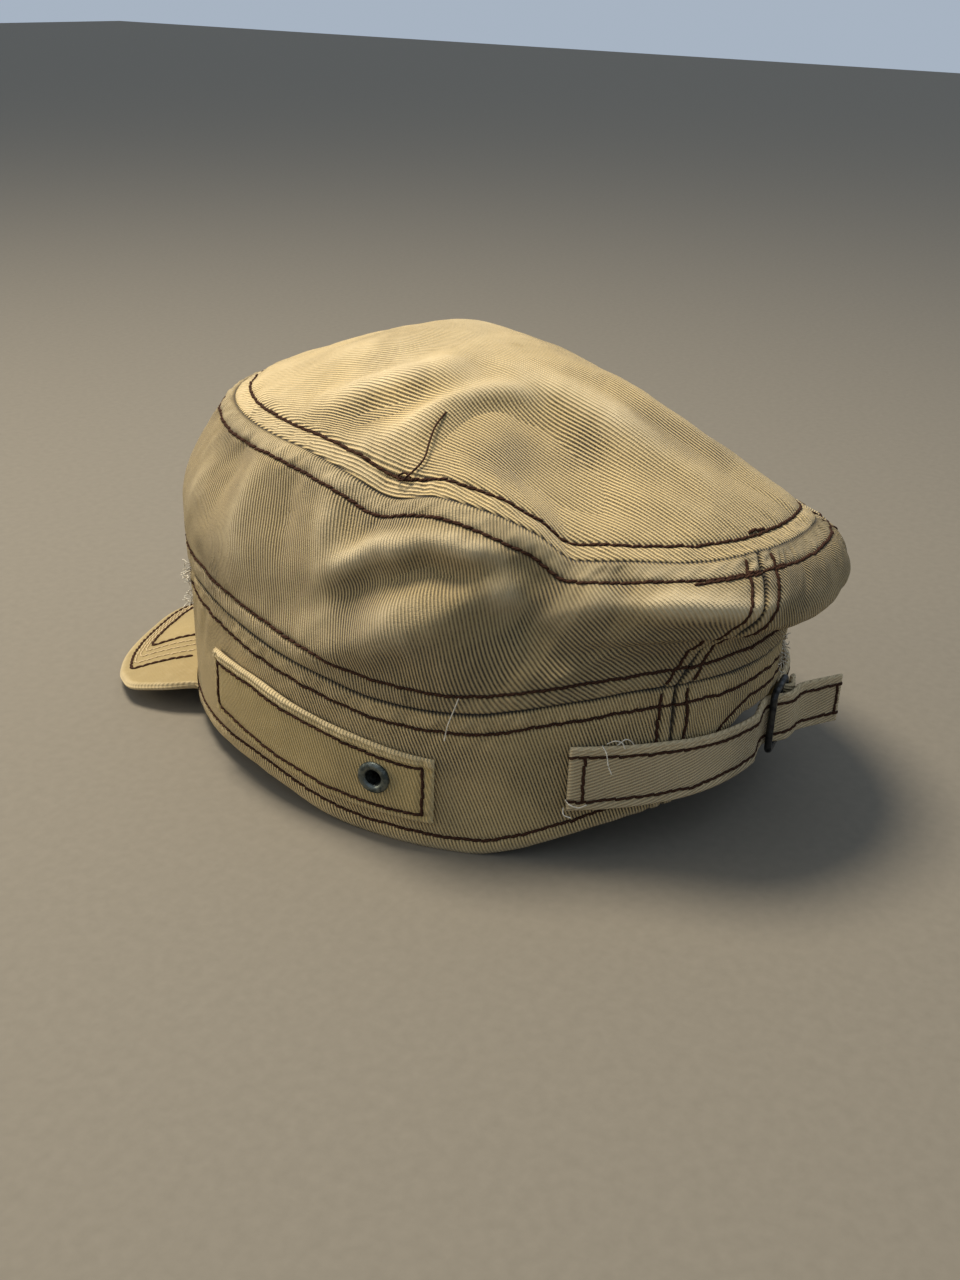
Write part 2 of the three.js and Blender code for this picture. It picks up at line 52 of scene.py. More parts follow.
# camera behind the wearer's left shoulder
view = {"target": (-0.24, 0.41, 27.27), "azimuth": 120, "elevation": 25.68, "distance": 471.09,
        "roll": 1.92, "lens": 39.375}


def addCamera():
    azimuth, elevation, roll = (radians(view[k]) for k in ("azimuth", "elevation", "roll"))
    back = Vector((sin(azimuth) * cos(elevation), -cos(azimuth) * cos(elevation), sin(elevation)))
    right = (-back).cross(Vector((0, 0, 1))).normalized()
    up = right.cross(-back)
    across = right * cos(roll) + up * sin(roll)
    upward = up * cos(roll) - right * sin(roll)
    place = (Vector(view["target"]) + back * view["distance"] + Vector(capShift)) / 1000
    data = bpy.data.cameras.new("camera")
    data.sensor_width = 36
    data.lens = view["lens"]
    data.clip_start = 0.01
    camera = bpy.data.objects.new("camera", data)
    turned = Matrix((across, upward, back)).transposed().to_4x4()
    camera.matrix_world = Matrix.Translation(place) @ turned
    bpy.context.scene.collection.objects.link(camera)
    bpy.context.scene.camera = camera


addCamera()

# sizes of the cap
hemLength = 201.6
hemWidth = 165.6
bandHeight = 46
crownLength = 194
crownWidth = 130
crownShift = 10
crownTop = 106
domeRise = 21
frontFullness = 8.5
pouchDepth = 9.5
clothThickness = 1.8
seamGap = 0.3
rearSeamAngle = 150
rearSeamLean = 9
archHeight = 36
archStart = 157


def table(columns, rows):
    return {name: np.array(values, float) for name, values in zip(columns.split(), zip(*rows))}


# shares of the band height above the floor, top seam of the crown's height
directions = table("angle hem bandSeam topSeam bulge", [
    (0, 0.13, 1.2, 1.0, 0.06), (30, 0.11, 1.21, 1.0, 0.06), (50, 0.13, 1.21, 1.0, 0.05),
    (67, 0.14, 1.16, 1.0, 0.04), (79, 0.1, 1.09, 0.975, 0.04), (89, 0.03, 1.04, 0.935, 0.05),
    (98, 0, 0.99, 0.965, 0.06), (106, 0, 0.98, 0.95, 0.06), (115, 0, 1.0, 0.905, 0.04),
    (122, 0.05, 1.05, 0.845, 0.03), (132, 0.17, 1.12, 0.85, 0.02), (144, 0.28, 1.17, 0.845, 0.02),
    (160, 0.33, 1.16, 0.855, 0.02), (180, 0.33, 1.15, 0.86, 0.02), (205, 0.33, 1.16, 0.82, 0.03),
    (228, 0.17, 1.12, 0.8, 0.05), (240, 0.03, 1.04, 0.82, 0.06), (248, 0, 1.0, 0.84, 0.06),
    (264, 0, 1.0, 0.88, 0.06), (284, 0.1, 1.09, 0.93, 0.05), (310, 0.13, 1.19, 0.97, 0.05),
    (360, 0.13, 1.2, 1.0, 0.06)])
# how the crown's side sags into a pouch at the rear
pouchProfile = table("up out", [(0, 0), (0.28, -0.25), (0.42, 0.7), (0.6, 1), (0.8, 0.7), (1, 0)])
pouchAround = table("angle depth", [
    (0, 0), (120, 0), (145, 0.6), (170, 1), (205, 0.8), (235, 0.3), (255, 0), (360, 0)])
# folds of the crown's side: centre, reach round and up, lean, depth in mm
sideFolds = [
    (117, 0.58, 10, 0.2, -0.012, -4.5), (100, 0.42, 14, 0.14, 0.022, 3), (82, 0.32, 11, 0.18, 0.008, -2),
    (138, 0.64, 12, 0.16, 0, 2), (48, 0.75, 9, 0.16, 0.01, -2), (20, 0.5, 14, 0.25, 0, 2),
    (318, 0.45, 16, 0.18, -0.008, -3), (285, 0.55, 16, 0.18, 0.008, 3), (256, 0.42, 14, 0.18, -0.008, -3.5)]
# folds of the top: left and back shares, reach along and across, heading, height in mm
topFolds = [
    (0.53, -0.08, 0.27, 0.075, 102, 3), (0.41, -0.3, 0.3, 0.12, 58, -2.5), (0.38, 0.24, 0.3, 0.13, 175, -3),
    (0.66, 0.38, 0.16, 0.08, 150, -2.5), (-0.15, 0.4, 0.55, 0.14, 177, 3.5),
    (-0.6, 0.25, 0.45, 0.14, 170, -3)]
domeProfile = table("share rise", [(0, 0), (0.12, 0.2), (0.35, 0.55), (0.7, 0.93), (1, 1)])


def along(rows, key, column, place):
    # smooth value of one column of a table, without overshooting its rows
    x, y = rows[key], rows[column]
    slope = np.diff(y) / np.diff(x)
    same = slope[:-1] * slope[1:] > 0
    total = np.where(same, slope[:-1] + slope[1:], 1)
    tangent = np.zeros(len(x))
    tangent[1:-1] = np.where(same, 2 * slope[:-1] * slope[1:] / total, 0)
    at = np.clip(place, x[0], x[-1])
    row = np.clip(np.searchsorted(x, at, side="right") - 1, 0, len(x) - 2)
    width = x[row + 1] - x[row]
    t = (at - x[row]) / width
    rise = y[row + 1] - y[row]
    start, end = tangent[row] * width, tangent[row + 1] * width
    return y[row] + t * start + t**2 * (3 * rise - 2 * start - end) + t**3 * (start + end - 2 * rise)


def bump(a, b=0.0):
    return np.exp(-(a * a + b * b))


def held(value):
    return np.clip(value, 0, 1)


def turnedTo(x, y, heading):
    a = radians(heading)
    return x * cos(a) + y * sin(a), y * cos(a) - x * sin(a)


def together(*parts):
    return np.stack(np.broadcast_arrays(*parts), axis=-1)


def gapAngle(start, end):
    return ((start - end + 540) % 360) - 180


def oval(angle, halfWidth, halfLength, shift=0.0):
    a = np.radians(angle)
    return halfWidth * np.sin(a), shift - halfLength * np.cos(a)


def direction(column, angle):
    return along(directions, "angle", column, angle % 360)


def hemHeight(angle):
    fromBack = np.abs(gapAngle(angle, 180))
    reach = 180 - archStart
    hem = bandHeight * direction("hem", angle)
    share = held(1 - fromBack / reach)
    arch = np.sqrt(np.sin(np.minimum(1, share * 1.5) * pi / 2))
    return hem + (archHeight - hem) * arch


def bandPoints(angle, share):
    low = hemHeight(angle)
    z = low + (bandHeight * direction("bandSeam", angle) - low) * share
    swell = 0.6 * share
    x, y = oval(angle, hemWidth / 2 + swell, hemLength / 2 + swell)
    return together(x, y, z)


def topSeam(angle):
    x, y = oval(angle, crownWidth / 2, crownLength / 2, crownShift)
    return together(x, y, crownTop * direction("topSeam", angle))


def leaned(angle, share):
    rise = rearSeamLean * share
    left, right = (bump(gapAngle(angle, at) / 14) for at in (rearSeamAngle, -rearSeamAngle))
    return angle + rise * (left - right)


def sidePoints(angle, share):
    angle = leaned(angle, share)
    low = bandPoints(angle, 1.0)
    point = low + (topSeam(angle) - low) * share[..., None]
    push = direction("bulge", angle) * crownTop * np.sin(pi * share)
    push = push + (pouchDepth * along(pouchAround, "angle", "depth", angle % 360)
                   * along(pouchProfile, "up", "out", share))
    edge = held(np.minimum(share, 1 - share) / 0.12)
    for centre, up, reach, rise, lean, depth in sideFolds:
        across = gapAngle(angle, centre)
        push = push + edge * depth * bump(across / reach, (share - up - lean * across) / rise)
    point[..., 0] += np.sin(np.radians(angle)) * push
    point[..., 1] -= np.cos(np.radians(angle)) * push
    return point


def topPoints(angle, share):
    seam = topSeam(angle)
    left = (seam[..., 0] / (crownWidth / 2)) * (1 - share)
    back = ((seam[..., 1] - crownShift) / (crownLength / 2)) * (1 - share)
    level = seam[..., 2] + (crownTop * 0.955 - seam[..., 2]) * np.minimum(1, share * 1.15)
    inward = np.minimum(1, share / 0.1)
    z = level + domeRise * along(domeProfile, "share", "rise", share)
    z = z + inward * frontFullness * bump((left + 0.1) / 0.8, (back + 0.3) / 0.55)
    for foldLeft, foldBack, reach, across, heading, height in topFolds:
        aside = (left - foldLeft) * crownWidth / crownLength
        sideways, lengthwise = turnedTo(aside, back - foldBack, heading)
        z = z + (inward * np.minimum(1, (1 - share) / 0.35) * height
                 * bump(lengthwise / reach, sideways / across))
    return together(left * crownWidth / 2, crownShift + back * crownLength / 2, z)


def noise(x, y, seed):
    # smooth value from -1 to 1, the same on every run
    lattice = np.random.default_rng(seed).uniform(-1, 1, (256, 256))
    x, y = np.broadcast_arrays(x, y)
    i, j = np.floor(x).astype(int), np.floor(y).astype(int)
    u, v = x - i, y - j
    u, v = u * u * (3 - 2 * u), v * v * (3 - 2 * v)
    low = lattice[i % 256, j % 256] * (1 - u) + lattice[(i + 1) % 256, j % 256] * u
    high = lattice[i % 256, (j + 1) % 256] * (1 - u) + lattice[(i + 1) % 256, (j + 1) % 256] * u
    return low * (1 - v) + high * v


def stations(length, fine, coarse, reach=9.0):
    # shares of a length, close together near both of its ends, where the steps are fine
    places = [0.0]
    while places[-1] < length:
        fromEnd = min(places[-1], length - places[-1])
        places.append(places[-1] + (fine if fromEnd < reach else coarse))
    return np.array(places) / places[-1]


def unit(vectors):
    return vectors / np.linalg.norm(vectors, axis=-1, keepdims=True)


def normals(grid, closed=False):
    across = np.roll(grid, -1, axis=1) - np.roll(grid, 1, axis=1) if closed else np.gradient(grid, axis=1)
    return unit(np.cross(across, np.gradient(grid, axis=0)))


def lengths(grid, axis=0):
    # mm travelled along one way of a grid, or along a path
    steps = np.linalg.norm(np.diff(grid, axis=axis), axis=-1)
    nothing = np.zeros_like(np.take(steps, [0], axis=axis))
    return np.concatenate([nothing, np.cumsum(steps, axis=axis)], axis=axis)


def spans(grid):
    # mm from each edge of a grid: low, high, start and end
    low, start = lengths(grid, 0), lengths(grid, 1)
    return {"low": low, "high": low[-1:] - low, "start": start, "end": start[:, -1:] - start}


def sampled(at, travel, values):
    return np.stack([np.interp(at, travel, column) for column in values.T], axis=-1)


def rounded(fromEdge, reach):
    return np.sqrt(1 - (1 - held(fromEdge / reach)) ** 2)


def gridFaces(rows, columns, start=0, closed=False, looped=False):
    # closed joins the last column to the first, looped the last row to the first
    tall, wide = rows if looped else rows - 1, columns if closed else columns - 1
    row, column = np.meshgrid(np.arange(tall), np.arange(wide), indexing="ij")
    here, above = start + row * columns, start + (row + 1) % rows * columns
    beside = (column + 1) % columns
    return np.stack([here + column, here + beside, above + beside, above + column], axis=-1).reshape(-1, 4)


def rimFaces(ring, count):
    # joins a run of outer corners to the inner ones, which come count later
    return np.stack([ring[:-1], ring[1:], ring[1:] + count, ring[:-1] + count], axis=-1)


def addMesh(name, points, faces, uvs, wearAndPaintedLight=None):
    # one mesh object in metres, with cloth places in its UVs and a mask of paler wear mixed with painted
    # light and painted shade
    mesh = bpy.data.meshes.new(name)
    mesh.from_pydata(((points + capShift) / 1000).tolist(), [], faces)
    loops = np.empty(len(mesh.loops), dtype=np.int32)
    mesh.loops.foreach_get("vertex_index", loops)
    layer = mesh.uv_layers.new(name="cloth")
    layer.data.foreach_set("uv", (uvs[loops] / 1000).astype(np.float32).ravel())
    if wearAndPaintedLight is not None:
        mask = mesh.attributes.new("wearAndPaintedLight", "FLOAT", "POINT")
        mask.data.foreach_set("value", wearAndPaintedLight.astype(np.float32).ravel())
    mesh.shade_smooth()
    piece = bpy.data.objects.new(name, mesh)
    bpy.context.scene.collection.objects.link(piece)
    return piece


def dress(piece, material, node=None):
    piece.data.materials.append(materials[material])
    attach(piece, "root")
    if node:
        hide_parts(node)


def shell(name, panel, wearAndPaintedLight, closed=False, middle=None, openings=None):
    # a closed cloth body from a panel's outer and inner face, middle is a place for each
    rows, columns = panel["low"].shape
    count = rows * columns
    ids = np.arange(count).reshape(rows, columns)
    ringed = np.hstack([ids, ids[:, :1]]) if closed else ids
    front = gridFaces(rows, columns, 0, closed)
    back = gridFaces(rows, columns, count, closed)[:, ::-1]
    if openings is not None:  # leaves out faces over the eyelets
        whole = ~openings.ravel()[front].any(axis=1)
        front, back = front[whole], back[whole]
    rims = [ringed[0][::-1]] + ([] if closed else [ids[:, 0], ids[::-1, -1]])
    if middle is None:
        rims.append(ringed[-1])
    faces = np.vstack([front, back] + [rimFaces(rim, count) for rim in rims]).tolist()
    points = [panel["face"].reshape(-1, 3), panel["inner"].reshape(-1, 3)]
    uvs, wearAndPaintedLight = np.vstack([panel["uv"].reshape(-1, 2)] * 2), np.tile(wearAndPaintedLight.ravel(), 2)
    if middle is not None:  # closes the ring of columns with a fan on each face
        points.append(np.array(middle))
        uvs, wearAndPaintedLight = np.vstack([uvs, np.array(middle)[:, :2]]), np.append(wearAndPaintedLight, (0, 0))
        pairs = list(zip(ringed[-1, :-1].tolist(), ringed[-1, 1:].tolist()))
        faces += [[a, b, 2 * count] for a, b in pairs]
        faces += [[b + count, a + count, 2 * count + 1] for a, b in pairs]
    return addMesh(name, np.vstack(points), faces, uvs, wearAndPaintedLight)


# relief beside a sewn seam, heights and reaches in mm
sewn = {"groove": 0.6, "grooveReach": 0.45, "row": 0.5, "rowReach": 0.75, "puff": 0.05, "swell": 0.16,
        "pucker": 0.42, "beyond": 0.22, "pull": 0.75, "pullReach": 13}


def seamRelief(distance, around, seed, stitchAt=6.0):
    slanted = around + 0.5 * distance
    pucker = noise(slanted / 2.1, distance / 6, seed) + 0.5 * noise(slanted / 1.2, distance / 3, seed + 2)
    swell = noise(around / 7, distance / 12, seed + 1)
    puff = np.sin(pi * held((distance - 0.2) / (stitchAt - 0.3))) ** 0.8
    beyond = bump(np.maximum(distance - stitchAt, 0) / 6) * held(distance / stitchAt)
    pull = np.exp(-distance / sewn["pullReach"]) * held((distance - 4) / 5)
    return (puff * (sewn["puff"] + sewn["swell"] * swell + sewn["pucker"] * pucker)
            + sewn["beyond"] * beyond * pucker
            + sewn["pull"] * pull * noise(slanted / 3.6, distance / 22, seed + 3)
            - sewn["groove"] * bump(distance / sewn["grooveReach"])
            - sewn["row"] * bump((distance - stitchAt) / sewn["rowReach"]))


def clothRelief(x, y, seed):
    return (0.5 * noise(x / 17, y / 17, seed) + 0.24 * noise(x / 7, y / 7, seed + 1)
            + 0.05 * noise(x / 2.2, y / 2.2, seed + 2))


def creases(x, y, rows):
    # soft ridges and dents: centre, length, width, heading from +x, height, all in mm
    total = np.zeros(np.broadcast(x, y).shape)
    for cx, cy, length, width, heading, height in rows:
        lengthwise, sideways = turnedTo(x - cx, y - cy, heading)
        ridge = np.exp(-np.sqrt((sideways / width) ** 2 + 0.15) + 0.387)
        total += height * bump(lengthwise / length) * ridge
    return total


def onFacet(x, y, cx, cy, length, width, heading, wider):
    lengthwise, sideways = turnedTo(x - cx, y - cy, heading)
    return lengthwise / length, np.where(sideways > 0, sideways / wider, sideways) / width


def facets(x, y, rows):
    # slopes from high ground on the right of the heading to wider low ground on its left
    total = np.zeros(np.broadcast(x, y).shape)
    for *place, height, wider in rows:
        lengthwise, sideways = onFacet(x, y, *place, wider)
        total -= height * bump(lengthwise) * sideways * np.exp(0.5 - sideways ** 2 / 2)
    return total


def dressed(grid, relief, thickness, closed=False):
    # outer face with its relief, plain inner face, and the lengths that stitch rows need
    normal = normals(grid, closed)
    face = grid + normal * relief[..., None]
    return spans(grid) | {"face": face, "inner": grid - normal * thickness, "normal": normals(face, closed),
                          "relief": relief}


def lineOn(travel, face, normal, at, wander, first, last, seed):
    picked = range(len(travel))[first:last]
    places = at + wander * noise(np.array(picked) / 9, 0, seed)
    return [np.array([sampled(place, travel[i], grid[i]) for i, place in zip(picked, places)])
            for grid in (face, normal)]


def rowLine(panel, key, at, wander=0.25, first=0, last=None, seed=3):
    # a line across a panel's columns, a distance from its low or high edge
    sign = 1 if key == "low" else -1
    grids = (panel[part][::sign].swapaxes(0, 1) for part in (key, "face", "normal"))
    return lineOn(*grids, at, wander, first, last, seed)


def columnLine(panel, key, at, first=0, last=None, wander=0.2, seed=4):
    # a line up a panel's rows, a distance from its first or last column
    sign = 1 if key == "start" else -1
    grids = (panel[part][:, ::sign] for part in (key, "face", "normal"))
    return lineOn(*grids, at, wander, first, last, seed)


def turns(count):
    return np.linspace(0, 2 * pi, count + 1)[:-1]


thread = {"spacing": 2.9, "radius": 0.52, "lift": 0.22, "above": 0.02, "flat": 0.85, "aside": 0.16,
          "slantLeast": 0.05, "slantMost": 0.6}
stitchRings = 6  # rings along a stitch, each with as many corners


def addStitches(name, lines, look=thread, seed=11, material="thread"):
    # short bent lengths of thread along lines on the cloth, as one mesh
    random = np.random.default_rng(seed)
    t, turn = np.linspace(0, 1, stitchRings), turns(stitchRings)[:, None]
    arch = look["lift"] * np.sin(pi * t) ** 0.8 + look["above"]
    radius = look["radius"] * (0.66 + 0.34 * np.sin(pi * np.clip(t, 0.04, 0.96)) ** 0.6)
    points, uvs, total = [], [], 0
    for line, normal in lines:
        travel = lengths(line)
        count = max(1, int(travel[-1] / look["spacing"]))
        step = travel[-1] / count
        places = np.arange(count)[:, None] * step + (1.06 * t - 0.03) * step
        at, above = sampled(places, travel, line), sampled(places, travel, normal)
        side = unit(np.cross(above, unit(np.gradient(at, axis=1))))
        slant = random.uniform(-look["aside"], look["aside"], (count, 1))
        slant = slant + random.uniform(look["slantLeast"], look["slantMost"], (count, 1)) * (t - 0.5)
        at = at + side * slant[..., None] + above * arch[:, None]
        ring = at[:, :, None] + radius[:, None, None] * (
            np.cos(turn) * side[:, :, None] + look["flat"] * np.sin(turn) * above[:, :, None])
        points.append(ring.reshape(-1, 3))
        uvs.append(together(places[:, :, None], turn[:, 0]).reshape(-1, 2))
        total += count
    corners = stitchRings ** 2
    first = corners * np.arange(total)[:, None, None]
    ends = np.array([range(stitchRings)[::-1], range(corners - stitchRings, corners)])
    sides = (gridFaces(stitchRings, stitchRings, closed=True) + first).reshape(-1, 4)
    caps = (ends + first).reshape(-1, stitchRings)
    dress(addMesh(name, np.vstack(points), sides.tolist() + caps.tolist(), np.vstack(uvs)), material)


def feed(node, inputs):
    # sets or links the inputs of a node
    for name, value in inputs.items():
        if isinstance(value, (int, float, tuple)):
            node.inputs[name].default_value = value
        else:
            node.id_data.links.new(value, node.inputs[name])
    return node.outputs


def addNode(kind, inputs, **settings):
    # a node in the same tree as the sockets that feed it
    tree = next(value.id_data for value in inputs.values() if isinstance(value, bpy.types.NodeSocket))
    node = tree.nodes.new(kind)
    for key, value in settings.items():
        setattr(node, key, value)
    return feed(node, inputs)


def maths(operation, a, b=0.0):
    return addNode("ShaderNodeMath", {0: a, 1: b}, operation=operation)[0]


plus, minus, times, over, power = (
    partial(maths, operation) for operation in ("ADD", "SUBTRACT", "MULTIPLY", "DIVIDE", "POWER"))


def limited(value, least, most):
    return maths("MINIMUM", maths("MAXIMUM", value, least), most)


def mixed(factor, a, b, blend="MIX"):
    return addNode("ShaderNodeMix", {0: factor, 6: a, 7: b}, data_type="RGBA", blend_type=blend)[2]


def noiseNode(place, scale, detail=2.0, roughness=0.5):
    values = {"Vector": place, "Scale": scale, "Detail": detail, "Roughness": roughness}
    return addNode("ShaderNodeTexNoise", values)["Fac"]


def bumped(height, strength, distance):
    return addNode("ShaderNodeBump", {"Height": height, "Strength": strength, "Distance": distance})[0]


def newGroup(name, inputs, outputs):
    # an input is a place where it has no value, a colour where it has four numbers
    group = bpy.data.node_groups.new(name, "ShaderNodeTree")
    kinds = {type(None): "NodeSocketVector", tuple: "NodeSocketColor", float: "NodeSocketFloat"}
    for socketName, value in inputs.items():
        socket = group.interface.new_socket(name=socketName, in_out="INPUT", socket_type=kinds[type(value)])
        if value is not None:
            socket.default_value = value
    for socketName in outputs:
        kind = kinds[tuple if socketName == "Color" else float]
        group.interface.new_socket(name=socketName, in_out="OUTPUT", socket_type=kind)
    return group, group.nodes.new("NodeGroupInput").outputs, group.nodes.new("NodeGroupOutput")


def makeTwillWeave():
    # slanting wales of a twill, crossed by the small floats of its yarn
    group, given, result = newGroup(
        "twillWeave", {"Place": None, "Pitch": 0.0014, "Lean": 10.0, "Wander": 2.0}, ("Valley", "Height"))
    place, lean = given["Place"], maths("RADIANS", given["Lean"])
    u, v = addNode("ShaderNodeSeparateXYZ", {0: place})[:2]
    c, s = maths("COSINE", lean), maths("SINE", lean)
    across = over(plus(times(u, c), times(v, s)), given["Pitch"])
    onward = over(minus(times(v, c), times(u, s)), given["Pitch"])
    phase = plus(times(across, 2 * pi), times(noiseNode(place, 70), given["Wander"]))
    wale = plus(times(maths("SINE", phase), 0.5), 0.5)
    floats = maths("SINE", plus(times(onward, 2 * pi * 1.6), times(phase, 0.5)))
    fluff = noiseNode(place, 1900, 1.0)
    fading = limited(times(minus(noiseNode(place, 24, 2.0), 0.25), 3.0), 0.75, 1.0)
    height = plus(plus(times(times(wale, fading), 0.75), times(floats, 0.03)), times(fluff, 0.35))
    # the valley value darkens the colour between the wales, painted shade
    valley = times(power(minus(1.0, wale), 1.3), plus(0.3, times(fluff, 1.5)))
    feed(result, {"Valley": times(valley, fading), "Height": height})
    return group


def makeWashedColourWithShade():
    # faded cotton: blotches and pale rubbed edges, with painted shade in the weave's valleys and in a seam's
    # groove and stitch dents, and the top front's painted light in the pale mask
    group, given, result = newGroup("washedColourWithShade", {
        "Place": None, "Base": (0.4, 0.3, 0.17, 1), "Deep": (0.1, 0.08, 0.05, 1),
        "Pale": (0.6, 0.5, 0.34, 1), "Valley": 0.0, "Contrast": 0.6, "WearAndPaintedLight": 0.0}, ("Color",))
    blotch = noiseNode(given["Place"], 38, 3.0, 0.6)
    small = noiseNode(given["Place"], 260, 2.0, 0.6)
    # painted shade in a seam's groove and stitch dents, from the mask below 0
    paintedSeamShade = times(maths("MAXIMUM", times(given["WearAndPaintedLight"], -1.0), 0.0), 0.9)
    # rubbed wear, together with the top front's painted light
    rubbedAndLit = limited(plus(given["WearAndPaintedLight"], times(minus(small, 0.5), 0.5)), 0.0, 1.0)
    toned = mixed(1.0, given["Base"], plus(0.72, times(blotch, 0.56)), "MULTIPLY")
    toned = mixed(times(rubbedAndLit, 0.75), toned, given["Pale"])
    # painted shade in the weave's valleys, less where the cloth is rubbed and on the painted-light front
    paintedWeaveShade = times(times(given["Valley"], given["Contrast"]), minus(1.0, times(rubbedAndLit, 0.9)))
    darkest = maths("MINIMUM", plus(paintedWeaveShade, paintedSeamShade), 1.0)
    feed(result, {"Color": mixed(darkest, toned, given["Deep"])})
    return group


def makeMetalAge():
    # dull spots and rubbed brightness on small metal fittings
    group, given, result = newGroup(
        "metalAge", {"Place": None, "Base": (0.1, 0.1, 0.1, 1), "Dull": (0.05, 0.06, 0.05, 1)},
        ("Color", "Roughness", "Height"))
    spots = noiseNode(given["Place"], 420, 4.0, 0.65)
    mask = maths("MINIMUM", times(power(spots, 3.0), 5.0), 1.0)
    feed(result, {"Color": mixed(mask, given["Base"], given["Dull"]),
                  "Roughness": plus(0.26, times(mask, 0.35)), "Height": spots})
    return group


weaveGroup, colourGroup, metalGroup = makeTwillWeave(), makeWashedColourWithShade(), makeMetalAge()
materials = {}


def addMaterial(name):
    material = bpy.data.materials.new(name)
    material.use_nodes = True
    materials[name] = material
    tree = material.node_tree
    return tree, tree.nodes["Principled BSDF"]


def clothPlace(tree):
    node = tree.nodes.new("ShaderNodeUVMap")
    node.uv_map = "cloth"
    return node.outputs[0]


def clothMaterial(name, look):
    tree, shader = addMaterial(name)
    place = clothPlace(tree)
    wearAndPaintedLight = tree.nodes.new("ShaderNodeAttribute")
    wearAndPaintedLight.attribute_name = "wearAndPaintedLight"
    weave = addNode("ShaderNodeGroup", {
        "Place": place, "Pitch": look["pitch"], "Lean": look["lean"], "Wander": look["wander"]},
        node_tree=weaveGroup)
    colour = addNode("ShaderNodeGroup", {
        "Place": place, "Base": look["base"], "Deep": look["deep"], "Pale": look["pale"],
        "Valley": weave["Valley"], "Contrast": look["contrast"], "WearAndPaintedLight": wearAndPaintedLight.outputs["Fac"]},
        node_tree=colourGroup)
    feed(shader, {"Base Color": colour["Color"], "Roughness": 0.93, "Specular IOR Level": 0.15,
                  "Sheen Weight": 0.12, "Sheen Roughness": 0.6,
                  "Normal": bumped(weave["Height"], look["bump"], 0.0007)})


# deep is the colour of painted shade in the weave's valleys and seam grooves; contrast sets how strongly the
# valleys are painted
khaki = {"base": (0.52, 0.385, 0.182, 1), "deep": (0.045, 0.033, 0.019, 1), "pale": (0.66, 0.53, 0.32, 1),
         "pitch": 0.001, "lean": 14.0, "wander": 3.0, "contrast": 0.85, "bump": 1.0}
# one cloth in every piece, its base set per piece to how lit each looks: the top's lighter base is painted
# light, the side's and the visor's darker bases are painted shade; the top's darker deep deepens the painted
# shade on its slopes
looks = {
    "topCloth": {"lean": -2.0, "pitch": 0.00094, "contrast": 1.0, "base": (0.67, 0.493, 0.229, 1),
                 "deep": (0.028, 0.02, 0.012, 1)},
    "sideCloth": {"lean": 0.0, "pitch": 0.00082, "contrast": 1.0, "base": (0.47, 0.347, 0.16, 1)},
    "bandCloth": {"lean": 20.0, "pitch": 0.00093, "contrast": 1.0, "base": (0.61, 0.45, 0.207, 1)},
    "tabCloth": {"lean": 20.0, "contrast": 0.6, "base": (0.55, 0.405, 0.165, 1)},
    "strapCloth": {"lean": 107.0, "contrast": 0.65, "base": (0.62, 0.485, 0.272, 1)},
    "visorCloth": {"lean": 60.0, "contrast": 0.12, "base": (0.32, 0.235, 0.1, 1), "bump": 0.3}}
for name, look in looks.items():
    clothMaterial(name, khaki | look)


def threadMaterial(name, high, low):
    tree, shader = addMaterial(name)
    twist = addNode("ShaderNodeGroup", {
        "Place": clothPlace(tree), "Pitch": 0.0011, "Lean": 40.0, "Wander": 1.0}, node_tree=weaveGroup)
    # the twist's grooves take the low colour, painted shade
    feed(shader, {"Base Color": mixed(twist["Valley"], high, low), "Roughness": 0.9,
                  "Specular IOR Level": 0.12, "Normal": bumped(twist["Height"], 0.6, 0.0003)})


def metalMaterial(name, base, dull):
    tree, shader = addMaterial(name)
    place = tree.nodes.new("ShaderNodeTexCoord").outputs["Object"]
    age = addNode("ShaderNodeGroup", {"Place": place, "Base": base, "Dull": dull}, node_tree=metalGroup)
    feed(shader, {"Base Color": age["Color"], "Roughness": age["Roughness"], "Metallic": 0.85,
                  "Normal": bumped(age["Height"], 0.25, 0.0003)})


threadMaterial("thread", (0.06, 0.026, 0.014, 1), (0.02, 0.009, 0.006, 1))
threadMaterial("whiteThread", (0.74, 0.68, 0.56, 1), (0.5, 0.45, 0.36, 1))
threadMaterial("paleThread", (0.62, 0.48, 0.28, 1), (0.4, 0.3, 0.17, 1))
metalMaterial("eyeletMetal", (0.19, 0.21, 0.19, 1), (0.05, 0.06, 0.055, 1))
# a dark metal, made darker still as painted shade for the shaded gap behind the strap
metalMaterial("buckleMetal", (0.07, 0.07, 0.07, 1), (0.025, 0.027, 0.027, 1))
print("stage: materials made")

# how much paler the cloth is where it is worn, and how much painted shade darkens a seam's groove and its
# stitch dents
wearAndSeamShade = {"proud": 0.35, "above": 0.3, "seam": 0.16, "groove": 0.95, "row": 0.45, "rowReach": 0.6}


def wearAndLightFrom(panel):
    # paler where the cloth stands proud and along rubbed edges, from wear, and on the top's front, painted
    # light; below 0 in a seam's groove and its stitch dents, painted shade
    wearAndPaintedLight = held(wearAndSeamShade["proud"] * (panel["relief"] - wearAndSeamShade["above"]) + panel["edge"])
    for distance, stitchAt in panel.get("seams", ()):
        wearAndPaintedLight = wearAndPaintedLight + wearAndSeamShade["seam"] * held(1 - np.abs(distance / stitchAt - 0.5) * 2)
        # painted shade: a seam's groove and its stitch rows' dents are darkened
        wearAndPaintedLight = wearAndPaintedLight - wearAndSeamShade["groove"] * bump(distance / sewn["grooveReach"])
        wearAndPaintedLight = wearAndPaintedLight - wearAndSeamShade["row"] * bump((distance - stitchAt) / wearAndSeamShade["rowReach"])
    return np.clip(wearAndPaintedLight, -1, 1)


def addPanel(name, panel, material, slot, **ends):
    dress(shell(name, panel, wearAndLightFrom(panel), **ends), material, name)


